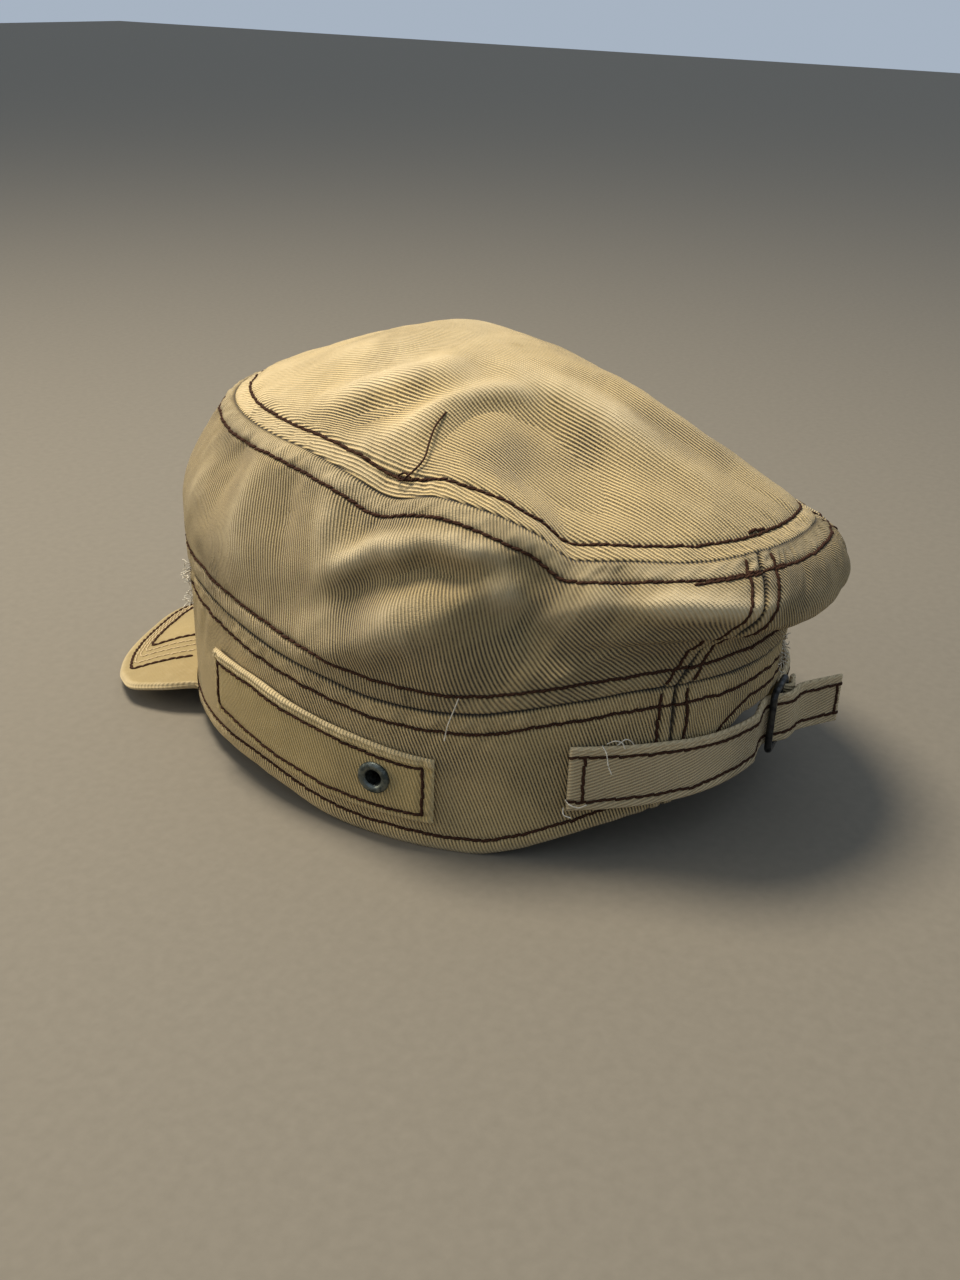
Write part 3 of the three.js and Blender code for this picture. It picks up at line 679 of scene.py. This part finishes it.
# crown side and back
gapAround = np.degrees(seamGap / 2 / (hemWidth / 2))
frontEdge = rearSeamAngle - gapAround
degree = 1.6  # mm round the cloth for one degree round the cap
crown = {"stitch": 6.0, "rearStitch": 4.2, "height": 58.0, "fine": 0.6, "coarse": 1.3, "flare": 2.6,
         "lean": 20, "leanMore": 30, "leanFrom": 165, "leanOver": 60, "palerEdge": 7}
# extra creases, mm along the seam from the front's middle (0) and up from the band seam
sideCreases = [
    (157, 27, 11, 7.0, 70, 2.0), (176, 40, 9, 2.4, 128, 1.9), (196, 32, 14, 6.0, 118, 1.8),
    (148, 45, 8, 2.6, 42, 1.3), (162, 52, 8, 2.4, 14, 1.0), (228, 33, 24, 4.0, 4, 1.4),
    (228, 19, 26, 2.6, 6, -2.8), (285, 27, 48, 4.0, 0, 1.4), (285, 18, 48, 2.4, 0, -1.9),
    (210, 13, 14, 3.0, 25, 1.0), (99, 34, 19, 5.5, 98, 2.4), (115, 40, 16, 5.5, 106, -3.2),
    (130, 42, 15, 4.5, 100, 2.3), (84, 38, 16, 5.0, 92, -2.4), (70, 30, 18, 6.0, 84, 1.6),
    (136, 14, 12, 3.5, 60, 0.9)]
# slopes of the arched hollow, the tongue behind it and the overhang at the rear
sideFacets = [
    (143, 33, 9, 3.8, 228, 2.6, 1), (154, 42, 8, 3.8, 214, 3.0, 1), (168, 46, 10, 3.8, 176, 3.0, 1),
    (184, 41, 8, 3.4, -54, 2.4, 1), (206, 37, 8, 3.4, -62, 0.9, 1), (224, 30, 17, 3.6, 184, 2.4, 1)]


def crownPanel(angles, seed):
    lift = seamGap / 2 / crown["height"]
    shares = lift + stations(crown["height"], crown["fine"], crown["coarse"]) * (1 - 2 * lift)
    grid = sidePoints(angles[None, :], shares[:, None])
    low, high, start, end = spans(grid).values()
    onward = angles * degree
    around = np.broadcast_to(onward, low.shape)
    seamSide = np.minimum(start, end)
    relief = seamRelief(low, around, seed) + seamRelief(high, around, seed + 20)
    relief = relief + seamRelief(seamSide, low, seed + 40, crown["rearStitch"]) * 0.8
    middle = held(np.minimum(low, high) / 9)
    relief = relief + middle * (clothRelief(around, low, seed + 60) + creases(around, low, sideCreases)
                                + facets(around, low, sideFacets))
    flare = crown["flare"] * (1 - np.exp(-high / 5)) * np.exp(-high / 20)
    panel = dressed(grid, relief + flare, clothThickness)
    # the weave leans more from the side towards the rear
    share = held((np.abs(onward) - crown["leanFrom"]) / crown["leanOver"])
    lean = np.radians(crown["lean"] + crown["leanMore"] * share * share * (3 - 2 * share))
    straight = np.append(0, np.cumsum(np.diff(onward) * np.cos((lean[1:] + lean[:-1]) / 2)))
    aslant = straight + (low - crown["height"] / 2) * np.sin(lean)
    panel["uv"] = together(aslant, low * np.cos(lean) - around * np.sin(lean))
    panel["relief"] = relief
    panel["edge"] = 0.5 * held((crown["palerEdge"] - high) / 1.5)
    panel["seams"] = [(low, crown["stitch"]), (high, crown["stitch"]), (seamSide, crown["rearStitch"])]
    return panel


sideAngles = np.linspace(-frontEdge, frontEdge, 470)
backAngles = np.linspace(rearSeamAngle + gapAround, 360 - rearSeamAngle - gapAround, 96)
side, rear = crownPanel(sideAngles, 100), crownPanel(backAngles, 200)
addPanel("crown_side", side, "sideCloth", "crown_cloth")
addPanel("crown_back", rear, "sideCloth", "crown_cloth")
print("stage: crown side made")

# crown top, one ring of columns round its middle
# pale, paleFrom and paleOver set the top front's painted light
topLook = {"length": 130.0, "fine": 0.6, "coarse": 1.5, "reach": 0.965, "degree": 1.45, "smoothed": 14,
           "pale": 0.62, "paleFrom": 34, "paleOver": 40}
topCreases = [
    (17, 50, 38, 6.0, 99, 1.2), (34, -20, 14, 3.5, 118, 1.0), (42, 5, 13, 2.6, 150, 1.3),
    (38, 62, 14, 4.0, 110, -0.8), (27, 74, 13, 3.5, 112, 0.8), (-4, 70, 30, 4.0, 92, 1.0),
    (4, 62, 30, 3.5, 94, -1.1), (-14, 40, 34, 5.0, 88, -1.0)]
# slopes below the long ridge and between it and the seam
topFacets = [(38, -9, 19, 5.5, -60, 2.4, 1), (42, 12, 13, 5.0, -30, 1.6, 1.3),
             (28, 20.5, 14, 4.0, -45, 2.3, 2.6), (17, 43, 24, 5.5, -88, 2.4, 2.8)]


def topPanel():
    columns = leaned(np.append(sideAngles, backAngles[1:-1]), 1.0)
    share = stations(topLook["length"], topLook["fine"], topLook["coarse"])
    share = share[: len(share) // 2]
    reach = topLook["reach"]
    share = np.append(share * 2 * reach, reach) * 0.995 + seamGap / 2 / (crownWidth / 2)
    grid = topPoints(columns[None, :], share[:, None])
    low = lengths(grid)
    # away from the seam the columns are evened out among their neighbours
    steps = range(-topLook["smoothed"], topLook["smoothed"] + 1)
    soft = sum(np.roll(grid, step, axis=1) for step in steps) / len(steps)
    grid = grid + held((low - 5) / 16)[..., None] * (soft - grid)
    x, y = grid[..., 0], grid[..., 1]
    relief = seamRelief(low, np.broadcast_to(columns * topLook["degree"], low.shape), 300)
    relief = relief + held(low / 9) * (clothRelief(x, y, 360) + creases(x, y, topCreases))
    relief = relief + held((low - 4) / 14) * facets(x, y, topFacets)
    # where the slopes lie, which keep their weave's painted shade
    shade = np.zeros(low.shape)
    for *place, _, wider in topFacets:
        lengthwise, sideways = onFacet(x, y, *place, wider)
        shade = np.maximum(shade, bump(lengthwise / 1.15, sideways / 1.4))
    panel = dressed(grid, relief, clothThickness, closed=True)
    panel["uv"] = grid[..., :2]
    panel["seams"] = [(low, crown["stitch"])]
    # the front is painted paler, painted light, the slopes, in shade, less so
    toned = held((topLook["paleFrom"] - y) / topLook["paleOver"])
    panel["edge"] = topLook["pale"] * toned * (1 - shade)
    return panel


top = topPanel()
middles = [top["face"][-1].mean(axis=0), top["inner"][-1].mean(axis=0)]
addPanel("crown_top", top, "topCloth", "crown_cloth", closed=True, middle=middles)
print("stage: crown top made")

# band, with its hem and the rear arch
band = {"hemStitch": 5.0, "rearStitch": 4.2, "fine": 0.6, "coarse": 1.2, "palerHem": 0.75}
eyelet = {"angle": 98.8, "degree": 1.47, "height": bandHeight * 0.47, "radius": 5.0, "hole": 2.5,
          "cleared": 3.4, "lip": 0.95, "seat": 2.6, "washer": 4.2, "back": -2.9, "metal": 0.5}


def bandPanel(angles, seed):
    shares = stations(bandHeight, band["fine"], band["coarse"]) * (1 - seamGap / 2 / bandHeight)
    grid = bandPoints(angles[None, :], shares[:, None])
    low, high, start, end = spans(grid).values()
    around = np.broadcast_to(angles * degree, low.shape)
    seamSide = np.minimum(start, end)
    hem = -0.55 * bump(low / 0.8) - 0.45 * bump((low - band["hemStitch"]) / 0.8)
    puff = np.sin(pi * held(low / band["hemStitch"]))
    hem = hem + 0.22 * puff * (1 + 0.8 * noise(around / 2.8, 0, seed + 7))
    relief = hem + seamRelief(high, around, seed)
    relief = relief + 0.8 * seamRelief(seamSide, low, seed + 40, band["rearStitch"])
    panel = dressed(grid, relief + 0.6 * clothRelief(around, low, seed + 60), clothThickness)
    panel["uv"] = together(around, grid[..., 2])
    panel["edge"] = band["palerHem"] * bump(low / 1.5)
    panel["seams"] = [(high, crown["stitch"]), (seamSide, band["rearStitch"])]
    return panel


bandFront, bandRear = bandPanel(sideAngles, 400), bandPanel(backAngles, 500)
fromEyelet = np.hypot(gapAngle(np.abs(sideAngles), eyelet["angle"]) * eyelet["degree"],
                      bandFront["face"][..., 2] - eyelet["height"])
addPanel("band_front", bandFront, "bandCloth", "band_cloth", openings=fromEyelet < eyelet["cleared"])
addPanel("band_back", bandRear, "bandCloth", "band_cloth")
print("stage: band made")


def bandStation(angle, away, low, high):
    # where a strip stands on the band, the way it faces, and its lower and upper edge
    level = held((low + high) / 2 / bandHeight)
    x, y = oval(angle, hemWidth / 2 + 0.6 * level, hemLength / 2 + 0.6 * level)
    ox, oy = oval(angle, 1 / hemWidth, 1 / hemLength)
    size = np.hypot(ox, oy)
    return together(x + away * ox / size, y + away * oy / size, ox / size, oy / size, low, high)


stripSteps = (0.35, 0.9, 3.5)  # fine and coarse steps, and how far in the fine ones reach


def strip(places, thickness, relief):
    # a flat soft strip with rounded edges from its row of standing stations
    low, high = places[:, 4], places[:, 5]
    v = stations(np.mean(high - low), *stripSteps)[:, None]
    centre = together(places[:, 0], places[:, 1], low + (high - low) * v)
    facing = together(places[:, 2], places[:, 3], 0 * v)
    panel = spans(centre)
    fromEdge = np.minimum.reduce(list(panel.values()))
    half = thickness / 2 * rounded(fromEdge, thickness * 0.55)
    raised = relief(*panel.values()) * held(fromEdge / 0.9)
    return panel | {
        "face": centre + facing * (half + raised)[..., None], "inner": centre - facing * half[..., None],
        "normal": facing, "relief": raised, "uv": together(panel["start"], panel["low"]),
        "edge": 0.5 * bump(fromEdge / 1.6) + 0.35 * held((3.0 - panel["high"]) / 0.5)}


def mirrored(panel):
    # the same strip on the wearer's right
    copy = {key: value[:, ::-1].copy() for key, value in panel.items()}
    for key in ("face", "inner", "normal"):
        copy[key][..., 0] *= -1
    return copy


# side tabs, stitched all round
tab = {"length": 73.0, "thickness": 1.8, "top": 3.6, "bottom": 2.6, "front": 2.6, "back": 3.4}
tabRows = table("angle low high", [
    (60, 0.4, 0.87), (72, 0.35, 0.86), (83, 0.275, 0.79), (92, 0.23, 0.74), (109, 0.21, 0.67)])


def tabRelief(low, high, start, end):
    rows = ((high, "top"), (low, "bottom"), (end, "back"), (start, "front"))
    groove = -0.4 * sum(bump((distance - tab[key]) / 0.8) for distance, key in rows)
    welt = 0.35 * np.sin(pi * held(high / tab["top"])) * (1 + 0.6 * noise(start / 2.4, 0, 31))
    layered = -0.45 * bump((high - 1.5) / 0.35) * held(end / 6)
    return groove + welt + layered + 0.8 * clothRelief(start, low, 33)


def tabPanel():
    first, last = tabRows["angle"][[0, -1]]
    angle = first + (last - first) * stations(tab["length"], *stripSteps)
    low, high = (bandHeight * along(tabRows, "angle", key, angle) for key in ("low", "high"))
    places = bandStation(angle, seamGap + 0.25 + tab["thickness"] / 2, low, high)
    return strip(places, tab["thickness"], tabRelief)


tabLeft = tabPanel()
tabRight = mirrored(tabLeft)
spot = bandStation(eyelet["angle"], 2.0, eyelet["height"], eyelet["height"])[[0, 1, 4]]
for name, panel, sign in (("tab_left", tabLeft, 1), ("tab_right", tabRight, -1)):
    fromEyelet = np.linalg.norm(panel["face"] * (sign, 1, 1) - spot, axis=-1)
    addPanel(name, panel, "tabCloth", "tab_cloth", openings=fromEyelet < eyelet["cleared"])
print("stage: tabs made")

# rear strap through its buckle
strap = {"thickness": 1.6, "start": 131, "tail": 15, "flare": 40, "angle": 185, "inset": 3.2, "sewn": 4.4,
         "tailStitch": 2.2}
buckle = {"height": 22, "spacing": 7, "radius": 1.1, "bend": 1.9, "play": 0.45}
strapRows = table("angle middle width bow", [
    (131, 0.605, 0.45, 0), (145, 0.595, 0.44, 0.2), (161, 0.575, 0.4, 0.3), (169, 0.575, 0.38, 0.3),
    (177, 0.585, 0.36, 0.2), (193, 0.595, 0.36, 0.6), (201, 0.6, 0.38, 0.9), (209, 0.575, 0.41, 0.7),
    (229, 0.6, 0.45, 0)])


def strapStation(angle):
    middle = bandHeight * along(strapRows, "angle", "middle", angle)
    half = bandHeight * along(strapRows, "angle", "width", angle) / 2
    away = seamGap + 0.25 + strap["thickness"] / 2 + along(strapRows, "angle", "bow", angle)
    return bandStation(angle, away, middle - half, middle + half)


def besideBuckle(alongStrap, away):
    # place beside the middle bar: along to the wearer's right, away outward
    x, y, ox, oy = strapStation(strap["angle"])[:4]
    return x - alongStrap * oy + away * ox, y + alongStrap * ox + away * oy


def smoothPath(places, count=24):
    # centripetal curve through flat places
    p = np.array(places)
    p = np.vstack([2 * p[0] - p[1], p, 2 * p[-1] - p[-2]])
    t = np.linspace(0, 1, count, endpoint=False)[:, None]
    result = []
    for i in range(1, len(p) - 2):
        before, here, after, beyond = p[i - 1:i + 3]
        t0, t1, t2 = (np.sqrt(np.linalg.norm(d)) for d in (here - before, after - here, beyond - after))
        m1 = ((here - before) / t0 - (after - before) / (t0 + t1) + (after - here) / t1) * t1
        m2 = ((after - here) / t1 - (beyond - here) / (t1 + t2) + (beyond - after) / t2) * t1
        result.append(here + t * m1 + t**2 * (3 * (after - here) - 2 * m1 - m2)
                      + t**3 * (2 * (here - after) + m1 + m2))
    return np.vstack(result + [p[-2:-1]])


def strapPanel(angles, through, turned):
    near = strapStation(np.array(angles, float))
    far = smoothPath([near[-1, :2]] + [besideBuckle(u, w) for u, w in through])[1:]
    path = np.vstack([near[:, :2], far])
    edges = np.vstack([near[:, 4:], np.tile(strapStation(strap["angle"])[4:], (len(far), 1))])
    if turned:
        path, edges = path[::-1], edges[::-1]
    travel = lengths(path)
    at = stations(travel[-1], 0.35, 0.8, 3.5) * travel[-1]
    flat = sampled(at, travel, path)
    ahead = unit(np.gradient(flat, axis=0))
    places = np.hstack([flat, ahead[:, 1:], -ahead[:, :1], sampled(at, travel, edges)])
    return strip(places, strap["thickness"], strapRelief)


def strapRelief(low, high, start, end):
    inner = np.minimum(low, high)
    groove = -0.35 * (bump((high - strap["inset"]) / 0.8) + bump((low - strap["inset"]) / 0.8))
    welt = 0.25 * np.sin(pi * held(inner / strap["inset"])) * (1 + 0.6 * noise(start / 2.4, 0, 41))
    layered = -0.4 * bump((high - 1.4) / 0.35)
    waves = 0.45 * held(inner / 5) * noise(start / 6.5, low / 24, 42)
    return (groove + welt + layered + waves) * np.clip(end / 30, 0.2, 1)


overBar = buckle["radius"] + buckle["play"] + strap["thickness"] / 2
overLoop = overBar + strap["thickness"] + buckle["play"]
gap = buckle["spacing"]


def tailPlace(share):
    reach = share * strap["tail"]
    return (gap * 1.25 + reach * cos(radians(strap["flare"])),
            overLoop + 0.9 + reach * sin(radians(strap["flare"])))


strapLeft = strapPanel(np.linspace(strap["start"], strap["angle"] - 12, 17), [
    (-gap, -overBar - 0.3), (-gap * 0.5, -overBar * 0.15), (0, overBar + 0.7), (gap * 0.5, overBar + 1.7),
    (gap, overLoop + 0.2), tailPlace(0.35), tailPlace(0.7), tailPlace(1)], False)
strapRight = strapPanel(np.linspace(360 - strap["start"], strap["angle"] + 14, 15), [
    (gap * 1.5, -overBar * 0.95), (gap, -overBar), (gap - overBar * 0.8, -overBar * 0.6), (gap - overBar, 0),
    (gap - overBar * 0.8, overBar * 0.6), (gap, overBar), (gap * 1.5, overBar * 0.62),
    (gap * 1.9, overBar * 0.5)], True)
addPanel("strap_left", strapLeft, "strapCloth", "strap_cloth")
addPanel("strap_right", strapRight, "strapCloth", "strap_cloth")
print("stage: strap made")

# visor
visor = {"reach": 36, "halfAngle": 40, "halfWidth": 61.5, "thickness": 2.8, "seat": 4.5, "camber": 1.6,
         "hemShare": 0.13, "stepsAround": (150, 0.4, 1.1, 4), "stepsOut": (38, 0.4, 0.9, 5)}
visorRows = table("place side fore lift", [
    (-0.2, -0.28, 0.94, 0), (0, 0, 1, 0), (0.2, 0.28, 0.94, 0), (0.4, 0.57, 0.83, 0.05),
    (0.55, 0.76, 0.71, 0.15), (0.7, 0.92, 0.55, 0.32), (0.82, 1, 0.38, 0.5), (0.92, 0.97, 0.2, 0.72),
    (1, 0.88, 0.02, 0.9)])


def visorPanel():
    place = 2 * stations(*visor["stepsAround"])[None, :] - 1
    share = stations(*visor["stepsOut"])[:, None]
    angle, beside, thick = place * visor["halfAngle"], np.abs(place), visor["thickness"]
    inner = bandStation(angle, seamGap + 0.1, 0.0, 0.0)
    tipY = -hemLength / 2 - visor["reach"]
    cornerY = -hemLength / 2 * cos(radians(visor["halfAngle"]))
    edgeX = along(visorRows, "place", "side", beside) * visor["halfWidth"] * np.sign(place)
    edgeY = cornerY + (tipY - cornerY) * along(visorRows, "place", "fore", beside)
    innerZ = hemHeight(angle) + visor["seat"] + thick / 2
    lift = bandHeight * visor["hemShare"] + visor["seat"]
    edgeZ = thick + lift * along(visorRows, "place", "lift", beside)
    x = inner[..., 0] + (edgeX - inner[..., 0]) * share
    y = inner[..., 1] + (edgeY - inner[..., 1]) * share
    z = innerZ + (edgeZ - innerZ) * share + visor["camber"] * np.sin(pi * share) * (1 - place**2)
    upper = together(x, y, z)[:, ::-1]
    panel = spans(upper)
    edge = np.minimum.reduce([panel[key] for key in ("high", "start", "end")])
    half = thick / 2 * rounded(edge, 1.5)
    middle, up = upper - (0, 0, thick / 2), np.array([0.0, 0.0, 1.0])
    relief = 0.12 * noise(upper[..., 0] / 12, upper[..., 1] / 12, 51) * held(edge / 4)
    face = middle + up * (half + relief)[..., None]
    return panel | {"face": face, "inner": middle - up * half[..., None], "normal": normals(face),
                    "relief": relief, "uv": upper[..., :2], "edge": 0.7 * bump(edge / 1.8)}


brim = visorPanel()
addPanel("visor", brim, "visorCloth", "visor_cloth")
print("stage: visor made")


def visorLine(atBand, atCorner, front):
    # a U-shaped row: out from the band, round a corner and along the front edge
    places = brim["start"][-1] / brim["start"][-1, -1] * 2 - 1
    shares = brim["low"][:, 0] / brim["low"][-1, 0]
    side = [*zip(np.linspace(atBand, atCorner, 20), np.linspace(0.1, front - 0.06, 20))]
    side += [(atCorner - 0.004, front - 0.02), (atCorner - 0.03, front)]
    across = [(place, front) for place in np.linspace(atCorner - 0.05, 0.05 - atCorner, 70)]
    path = np.array(side + across + [(-place, share) for place, share in side[::-1]])
    column = np.interp(path[:, 0], places, np.arange(len(places)))
    row = np.interp(path[:, 1], shares, np.arange(len(shares)))
    i, j = np.minimum(row.astype(int), len(shares) - 2), np.minimum(column.astype(int), len(places) - 2)
    u, v = (column - j)[:, None], (row - i)[:, None]
    return [(grid[i, j] * (1 - u) + grid[i, j + 1] * u) * (1 - v)
            + (grid[i + 1, j] * (1 - u) + grid[i + 1, j + 1] * u) * v
            for grid in (brim["face"], brim["normal"])]


def sweep(path, radius, segments=16, closed=False):
    # points and faces of a round bar along a path
    path = np.array(path, float)
    if closed:
        ahead = unit(np.roll(path, -1, axis=0) - np.roll(path, 1, axis=0))
    else:
        ahead = unit(np.gradient(path, axis=0))
    helper = np.where(np.abs(ahead[:, 2:]) > 0.95, (1.0, 0.0, 0.0), (0.0, 0.0, 1.0))
    side = unit(np.cross(ahead, helper))
    up = np.cross(side, ahead)
    turn = turns(segments)[:, None]
    ring = path[:, None] + radius * (np.cos(turn) * side[:, None] + np.sin(turn) * up[:, None])
    return ring.reshape(-1, 3), gridFaces(len(path), segments, closed=True, looped=closed)[:, ::-1]


def addSweeps(name, sweeps):
    points, faces, total = [], [], 0
    for some, those in sweeps:
        points.append(some)
        faces += (those + total).tolist()
        total += len(some)
    points = np.vstack(points)
    return addMesh(name, points, faces, points[:, :2])


def buckleBars():
    # a rounded frame with a middle bar
    x, y, ox, oy, low, high = strapStation(strap["angle"])
    tall, bend = buckle["height"] / 2 - buckle["radius"], buckle["bend"]
    outline = []
    for index, (u, v) in enumerate(((1, 1), (-1, 1), (-1, -1), (1, -1))):
        turn = np.linspace(0, pi / 2, 7) + index * pi / 2
        outline += zip(u * (gap - bend) + bend * np.cos(turn), v * (tall - bend) + bend * np.sin(turn))
    upright = [(0, v) for v in np.linspace(-tall, tall, 12)]
    frameBar, middleBar = ([(x - u * oy, y + u * ox, (low + high) / 2 + v) for u, v in bar]
                           for bar in (outline, upright))
    return [sweep(frameBar, buckle["radius"], closed=True), sweep(middleBar, buckle["radius"])]


dress(addSweeps("buckle_frame", buckleBars()), "buckleMetal", "buckle")


# rolled eyelets with their barrels
def eyeletShape(side):
    hole, radius, seat, metal = (eyelet[key] for key in ("hole", "radius", "seat", "metal"))
    back, washer = eyelet["back"], eyelet["washer"]
    middle, wide = (radius + hole) / 2, (radius - hole) / 2
    outline = [(hole, back), (hole, 0), (hole, seat)]
    outline += [(middle + wide * cos(a), seat + eyelet["lip"] * sin(a)) for a in np.linspace(pi, 0, 11)]
    outline += [(radius, seat - metal / 2), (hole + metal, seat - metal / 2), (hole + metal, back + metal),
                (washer, back + metal), (washer, back)]
    r, away = np.array(outline).T[..., None]
    turn = turns(48)
    x, y, ox, oy = bandStation(eyelet["angle"], 0.0, eyelet["height"], eyelet["height"])[:4]
    points = together(x - r * np.cos(turn) * oy + away * ox, y + r * np.cos(turn) * ox + away * oy,
                      eyelet["height"] + r * np.sin(turn))
    faces = gridFaces(len(outline), len(turn), closed=True, looped=True)
    if side < 0:
        points[..., 0] *= -1
        faces = faces[:, ::-1]
    return points.reshape(-1, 3), faces


dress(addSweeps("eyelet_ring_left", [eyeletShape(1)]), "eyeletMetal", "eyelet_left")
dress(addSweeps("eyelet_ring_right", [eyeletShape(-1)]), "eyeletMetal", "eyelet_right")
print("stage: fittings made")


# dark topstitching
def edgeRows(edges, at, seed):
    return [rowLine(panel, key, at, seed=seed + number) for number, (panel, key) in enumerate(edges)]


def rearRows(front, back, at, first):
    # the rows beside both rear seams
    edges = ((front, "end"), (front, "start"), (back, "start"), (back, "end"))
    return [columnLine(panel, key, at, first, -3) for panel, key in edges]


addStitches("stitches_crown", [
    *edgeRows([(top, "low"), (side, "high"), (side, "low"), (rear, "high"), (rear, "low")],
              crown["stitch"], 61),
    rowLine(top, "low", 6.9, 0.5, 474, 492), rowLine(side, "high", 6.8, 0.5, 452),
    rowLine(rear, "high", 6.8, 0.5, 0, 14), *rearRows(side, rear, crown["rearStitch"], 3)], seed=12)
addStitches("stitches_band", [
    *edgeRows([(bandFront, "high"), (bandRear, "high")], crown["stitch"], 66),
    *edgeRows([(bandFront, "low"), (bandRear, "low")], band["hemStitch"], 68),
    *rearRows(bandFront, bandRear, band["rearStitch"], 8)], seed=13)
# dark rows of the visor, with paler ones between them
addStitches("stitches_visor", [visorLine(0.6, 0.62, 0.86), visorLine(0.33, 0.41, 0.7)], seed=18)
addStitches("stitches_visor_pale", [
    visorLine(0.4, 0.46, 0.74), visorLine(0.46, 0.51, 0.78), visorLine(0.53, 0.565, 0.82)],
    thread | {"radius": 0.3, "lift": 0.16}, seed=19, material="paleThread")


def inset(line, fromStart, fromEnd):
    # the part of a line between two lengths from its ends
    travel = lengths(line[0])
    inside = (travel >= fromStart) & (travel <= travel[-1] - fromEnd)
    return line[0][inside], line[1][inside]


def tabStitches(panel, front, back):
    sides = (tab["front"], tab["back"]) if front == "start" else (tab["back"], tab["front"])
    rows = (("high", "top", 71), ("low", "bottom", 72))
    ends = ((front, "front"), (back, "back"))
    return [*(inset(rowLine(panel, key, tab[place], seed=seed), *sides) for key, place, seed in rows),
            *(inset(columnLine(panel, key, tab[place]), tab["bottom"], tab["top"]) for key, place in ends)]


def strapStitches(panel, seed, ends):
    rows = [rowLine(panel, "high", strap["inset"], 0.15, seed=seed),
            rowLine(panel, "low", strap["inset"], 0.15, seed=seed + 1)]
    return rows + [inset(columnLine(panel, key, at), 3, 3) for key, at in ends]


addStitches("stitches_tab_left", tabStitches(tabLeft, "start", "end"), seed=14)
addStitches("stitches_tab_right", tabStitches(tabRight, "end", "start"), seed=15)
leftEnds = [("start", strap["sewn"]), ("end", strap["tailStitch"])]
addStitches("stitches_strap_left", strapStitches(strapLeft, 73, leftEnds), seed=16)
addStitches("stitches_strap_right", strapStitches(strapRight, 75, [("end", strap["sewn"])]), seed=17)
print("stage: stitches made")


# loose ends: a dark one on the top, pale ones over the band, at the strap and at frayed seams
darkThreads = [[(61.6, 12.4, 104.6), (60.4, 9.6, 105.0), (61.6, 8.0, 104.0), (62.8, 10.0, 103.6),
                (61.2, 11.4, 104.9), (56, 13, 108.4), (51, 11.6, 111.8), (46, 10.4, 115.0),
                (40.7, 10.5, 117.8)]]
paleThreads = [[(78.2, 39.6, 51.5), (79.2, 38.6, 47.5), (80.2, 37.4, 43.0), (80.0, 36.4, 38.0)],
               [(57.5, 75.5, 38.8), (57.2, 77.6, 40.2), (56.0, 79.2, 39.6), (55.2, 79.8, 37.6)],
               [(58.8, 74.6, 38.6), (59.6, 76.4, 37.0), (60.0, 77.4, 33.6), (59.2, 78.2, 30.8)],
               [(55.6, 77.8, 38.2), (54.0, 79.4, 39.8), (52.4, 80.6, 38.6), (51.6, 81.2, 36.8)],
               [(64.2, 67.0, 21.2), (65.6, 69.0, 21.0), (64.8, 71.4, 20.4), (62.8, 73.0, 20.8)],
               [(64.4, 66.6, 18.6), (66.0, 67.6, 17.4), (65.2, 69.6, 16.6)]]


def frayed(start, end, outward, count, reach, seed):
    # short curling yarn ends along a worn edge
    random = np.random.default_rng(seed)
    start, end, outward = (np.array(v, float) for v in (start, end, outward))
    ends, bends = [], 5
    for share in random.uniform(0, 1, count):
        place = start + (end - start) * share + random.normal(0, 0.25, 3)
        steps = [place - outward * 0.6]
        heading = outward + random.normal(0, 0.75, 3)
        for _ in range(bends):
            heading = unit(heading) + random.normal(0, 0.42, 3)
            steps.append(steps[-1] + unit(heading) * reach / bends)
        ends.append(steps)
    return ends


def addThreads(name, paths, radius, material):
    dress(addSweeps(name, [sweep(smoothPath(path, 5), radius, 6) for path in paths]), material)


leftFray, rearFray = ([bandPoints(np.array(angle), np.array(share)) for share in shares]
                      for angle, shares in ((41.0, (1.0, 0.72)), (187.0, (0.95, 0.3))))
addThreads("loose_thread_dark", darkThreads, 0.3, "thread")
addThreads("loose_threads_pale", paleThreads, 0.17, "whiteThread")
addThreads("frayed_ends", frayed(*leftFray, (0.62, -0.78, 0.1), 46, 4.2, 81)
           + frayed(*rearFray, (0.5, 0.86, 0.0), 44, 3.4, 82), 0.15, "whiteThread")
print("stage: loose threads made")


def addFloor():
    mesh = bpy.data.meshes.new("floor")
    build = bmesh.new()
    bmesh.ops.create_grid(build, x_segments=2, y_segments=2, size=4.0)
    build.to_mesh(mesh)
    build.free()
    floor = bpy.data.objects.new("floor", mesh)
    bpy.context.scene.collection.objects.link(floor)
    tree, shader = addMaterial("floorPaper")
    place = tree.nodes.new("ShaderNodeTexCoord").outputs["Object"]
    grain = noiseNode(place, 300, 3.0)
    colour = mixed(grain, (0.165, 0.143, 0.108, 1), (0.205, 0.178, 0.136, 1))
    feed(shader, {"Base Color": colour, "Roughness": 0.85})
    mesh.materials.append(materials["floorPaper"])


def addLight(name, place, size, power, colour):
    data = bpy.data.lights.new(name, "AREA")
    data.shape = "DISK"
    data.size = size
    data.energy = power
    data.color = colour
    light = bpy.data.objects.new(name, data)
    light.location = place
    light.rotation_euler = (Vector((0, 0, 0.04)) - Vector(place)).to_track_quat("-Z", "Y").to_euler()
    bpy.context.scene.collection.objects.link(light)


addFloor()
addLight("key", (0.04, -0.32, 1.08), 0.4, 16.4, (1.0, 0.92, 0.78))
addLight("left", (0.62, -1.0, 0.34), 0.6, 5.3, (1.0, 0.88, 0.65))
world = bpy.data.worlds.new("soft room")
bpy.context.scene.world = world
world.use_nodes = True
feed(world.node_tree.nodes["Background"], {"Color": (0.71, 0.83, 0.99, 1), "Strength": 0.55})
bpy.context.scene.view_settings.view_transform = "Standard"
print("stage: floor and light made")
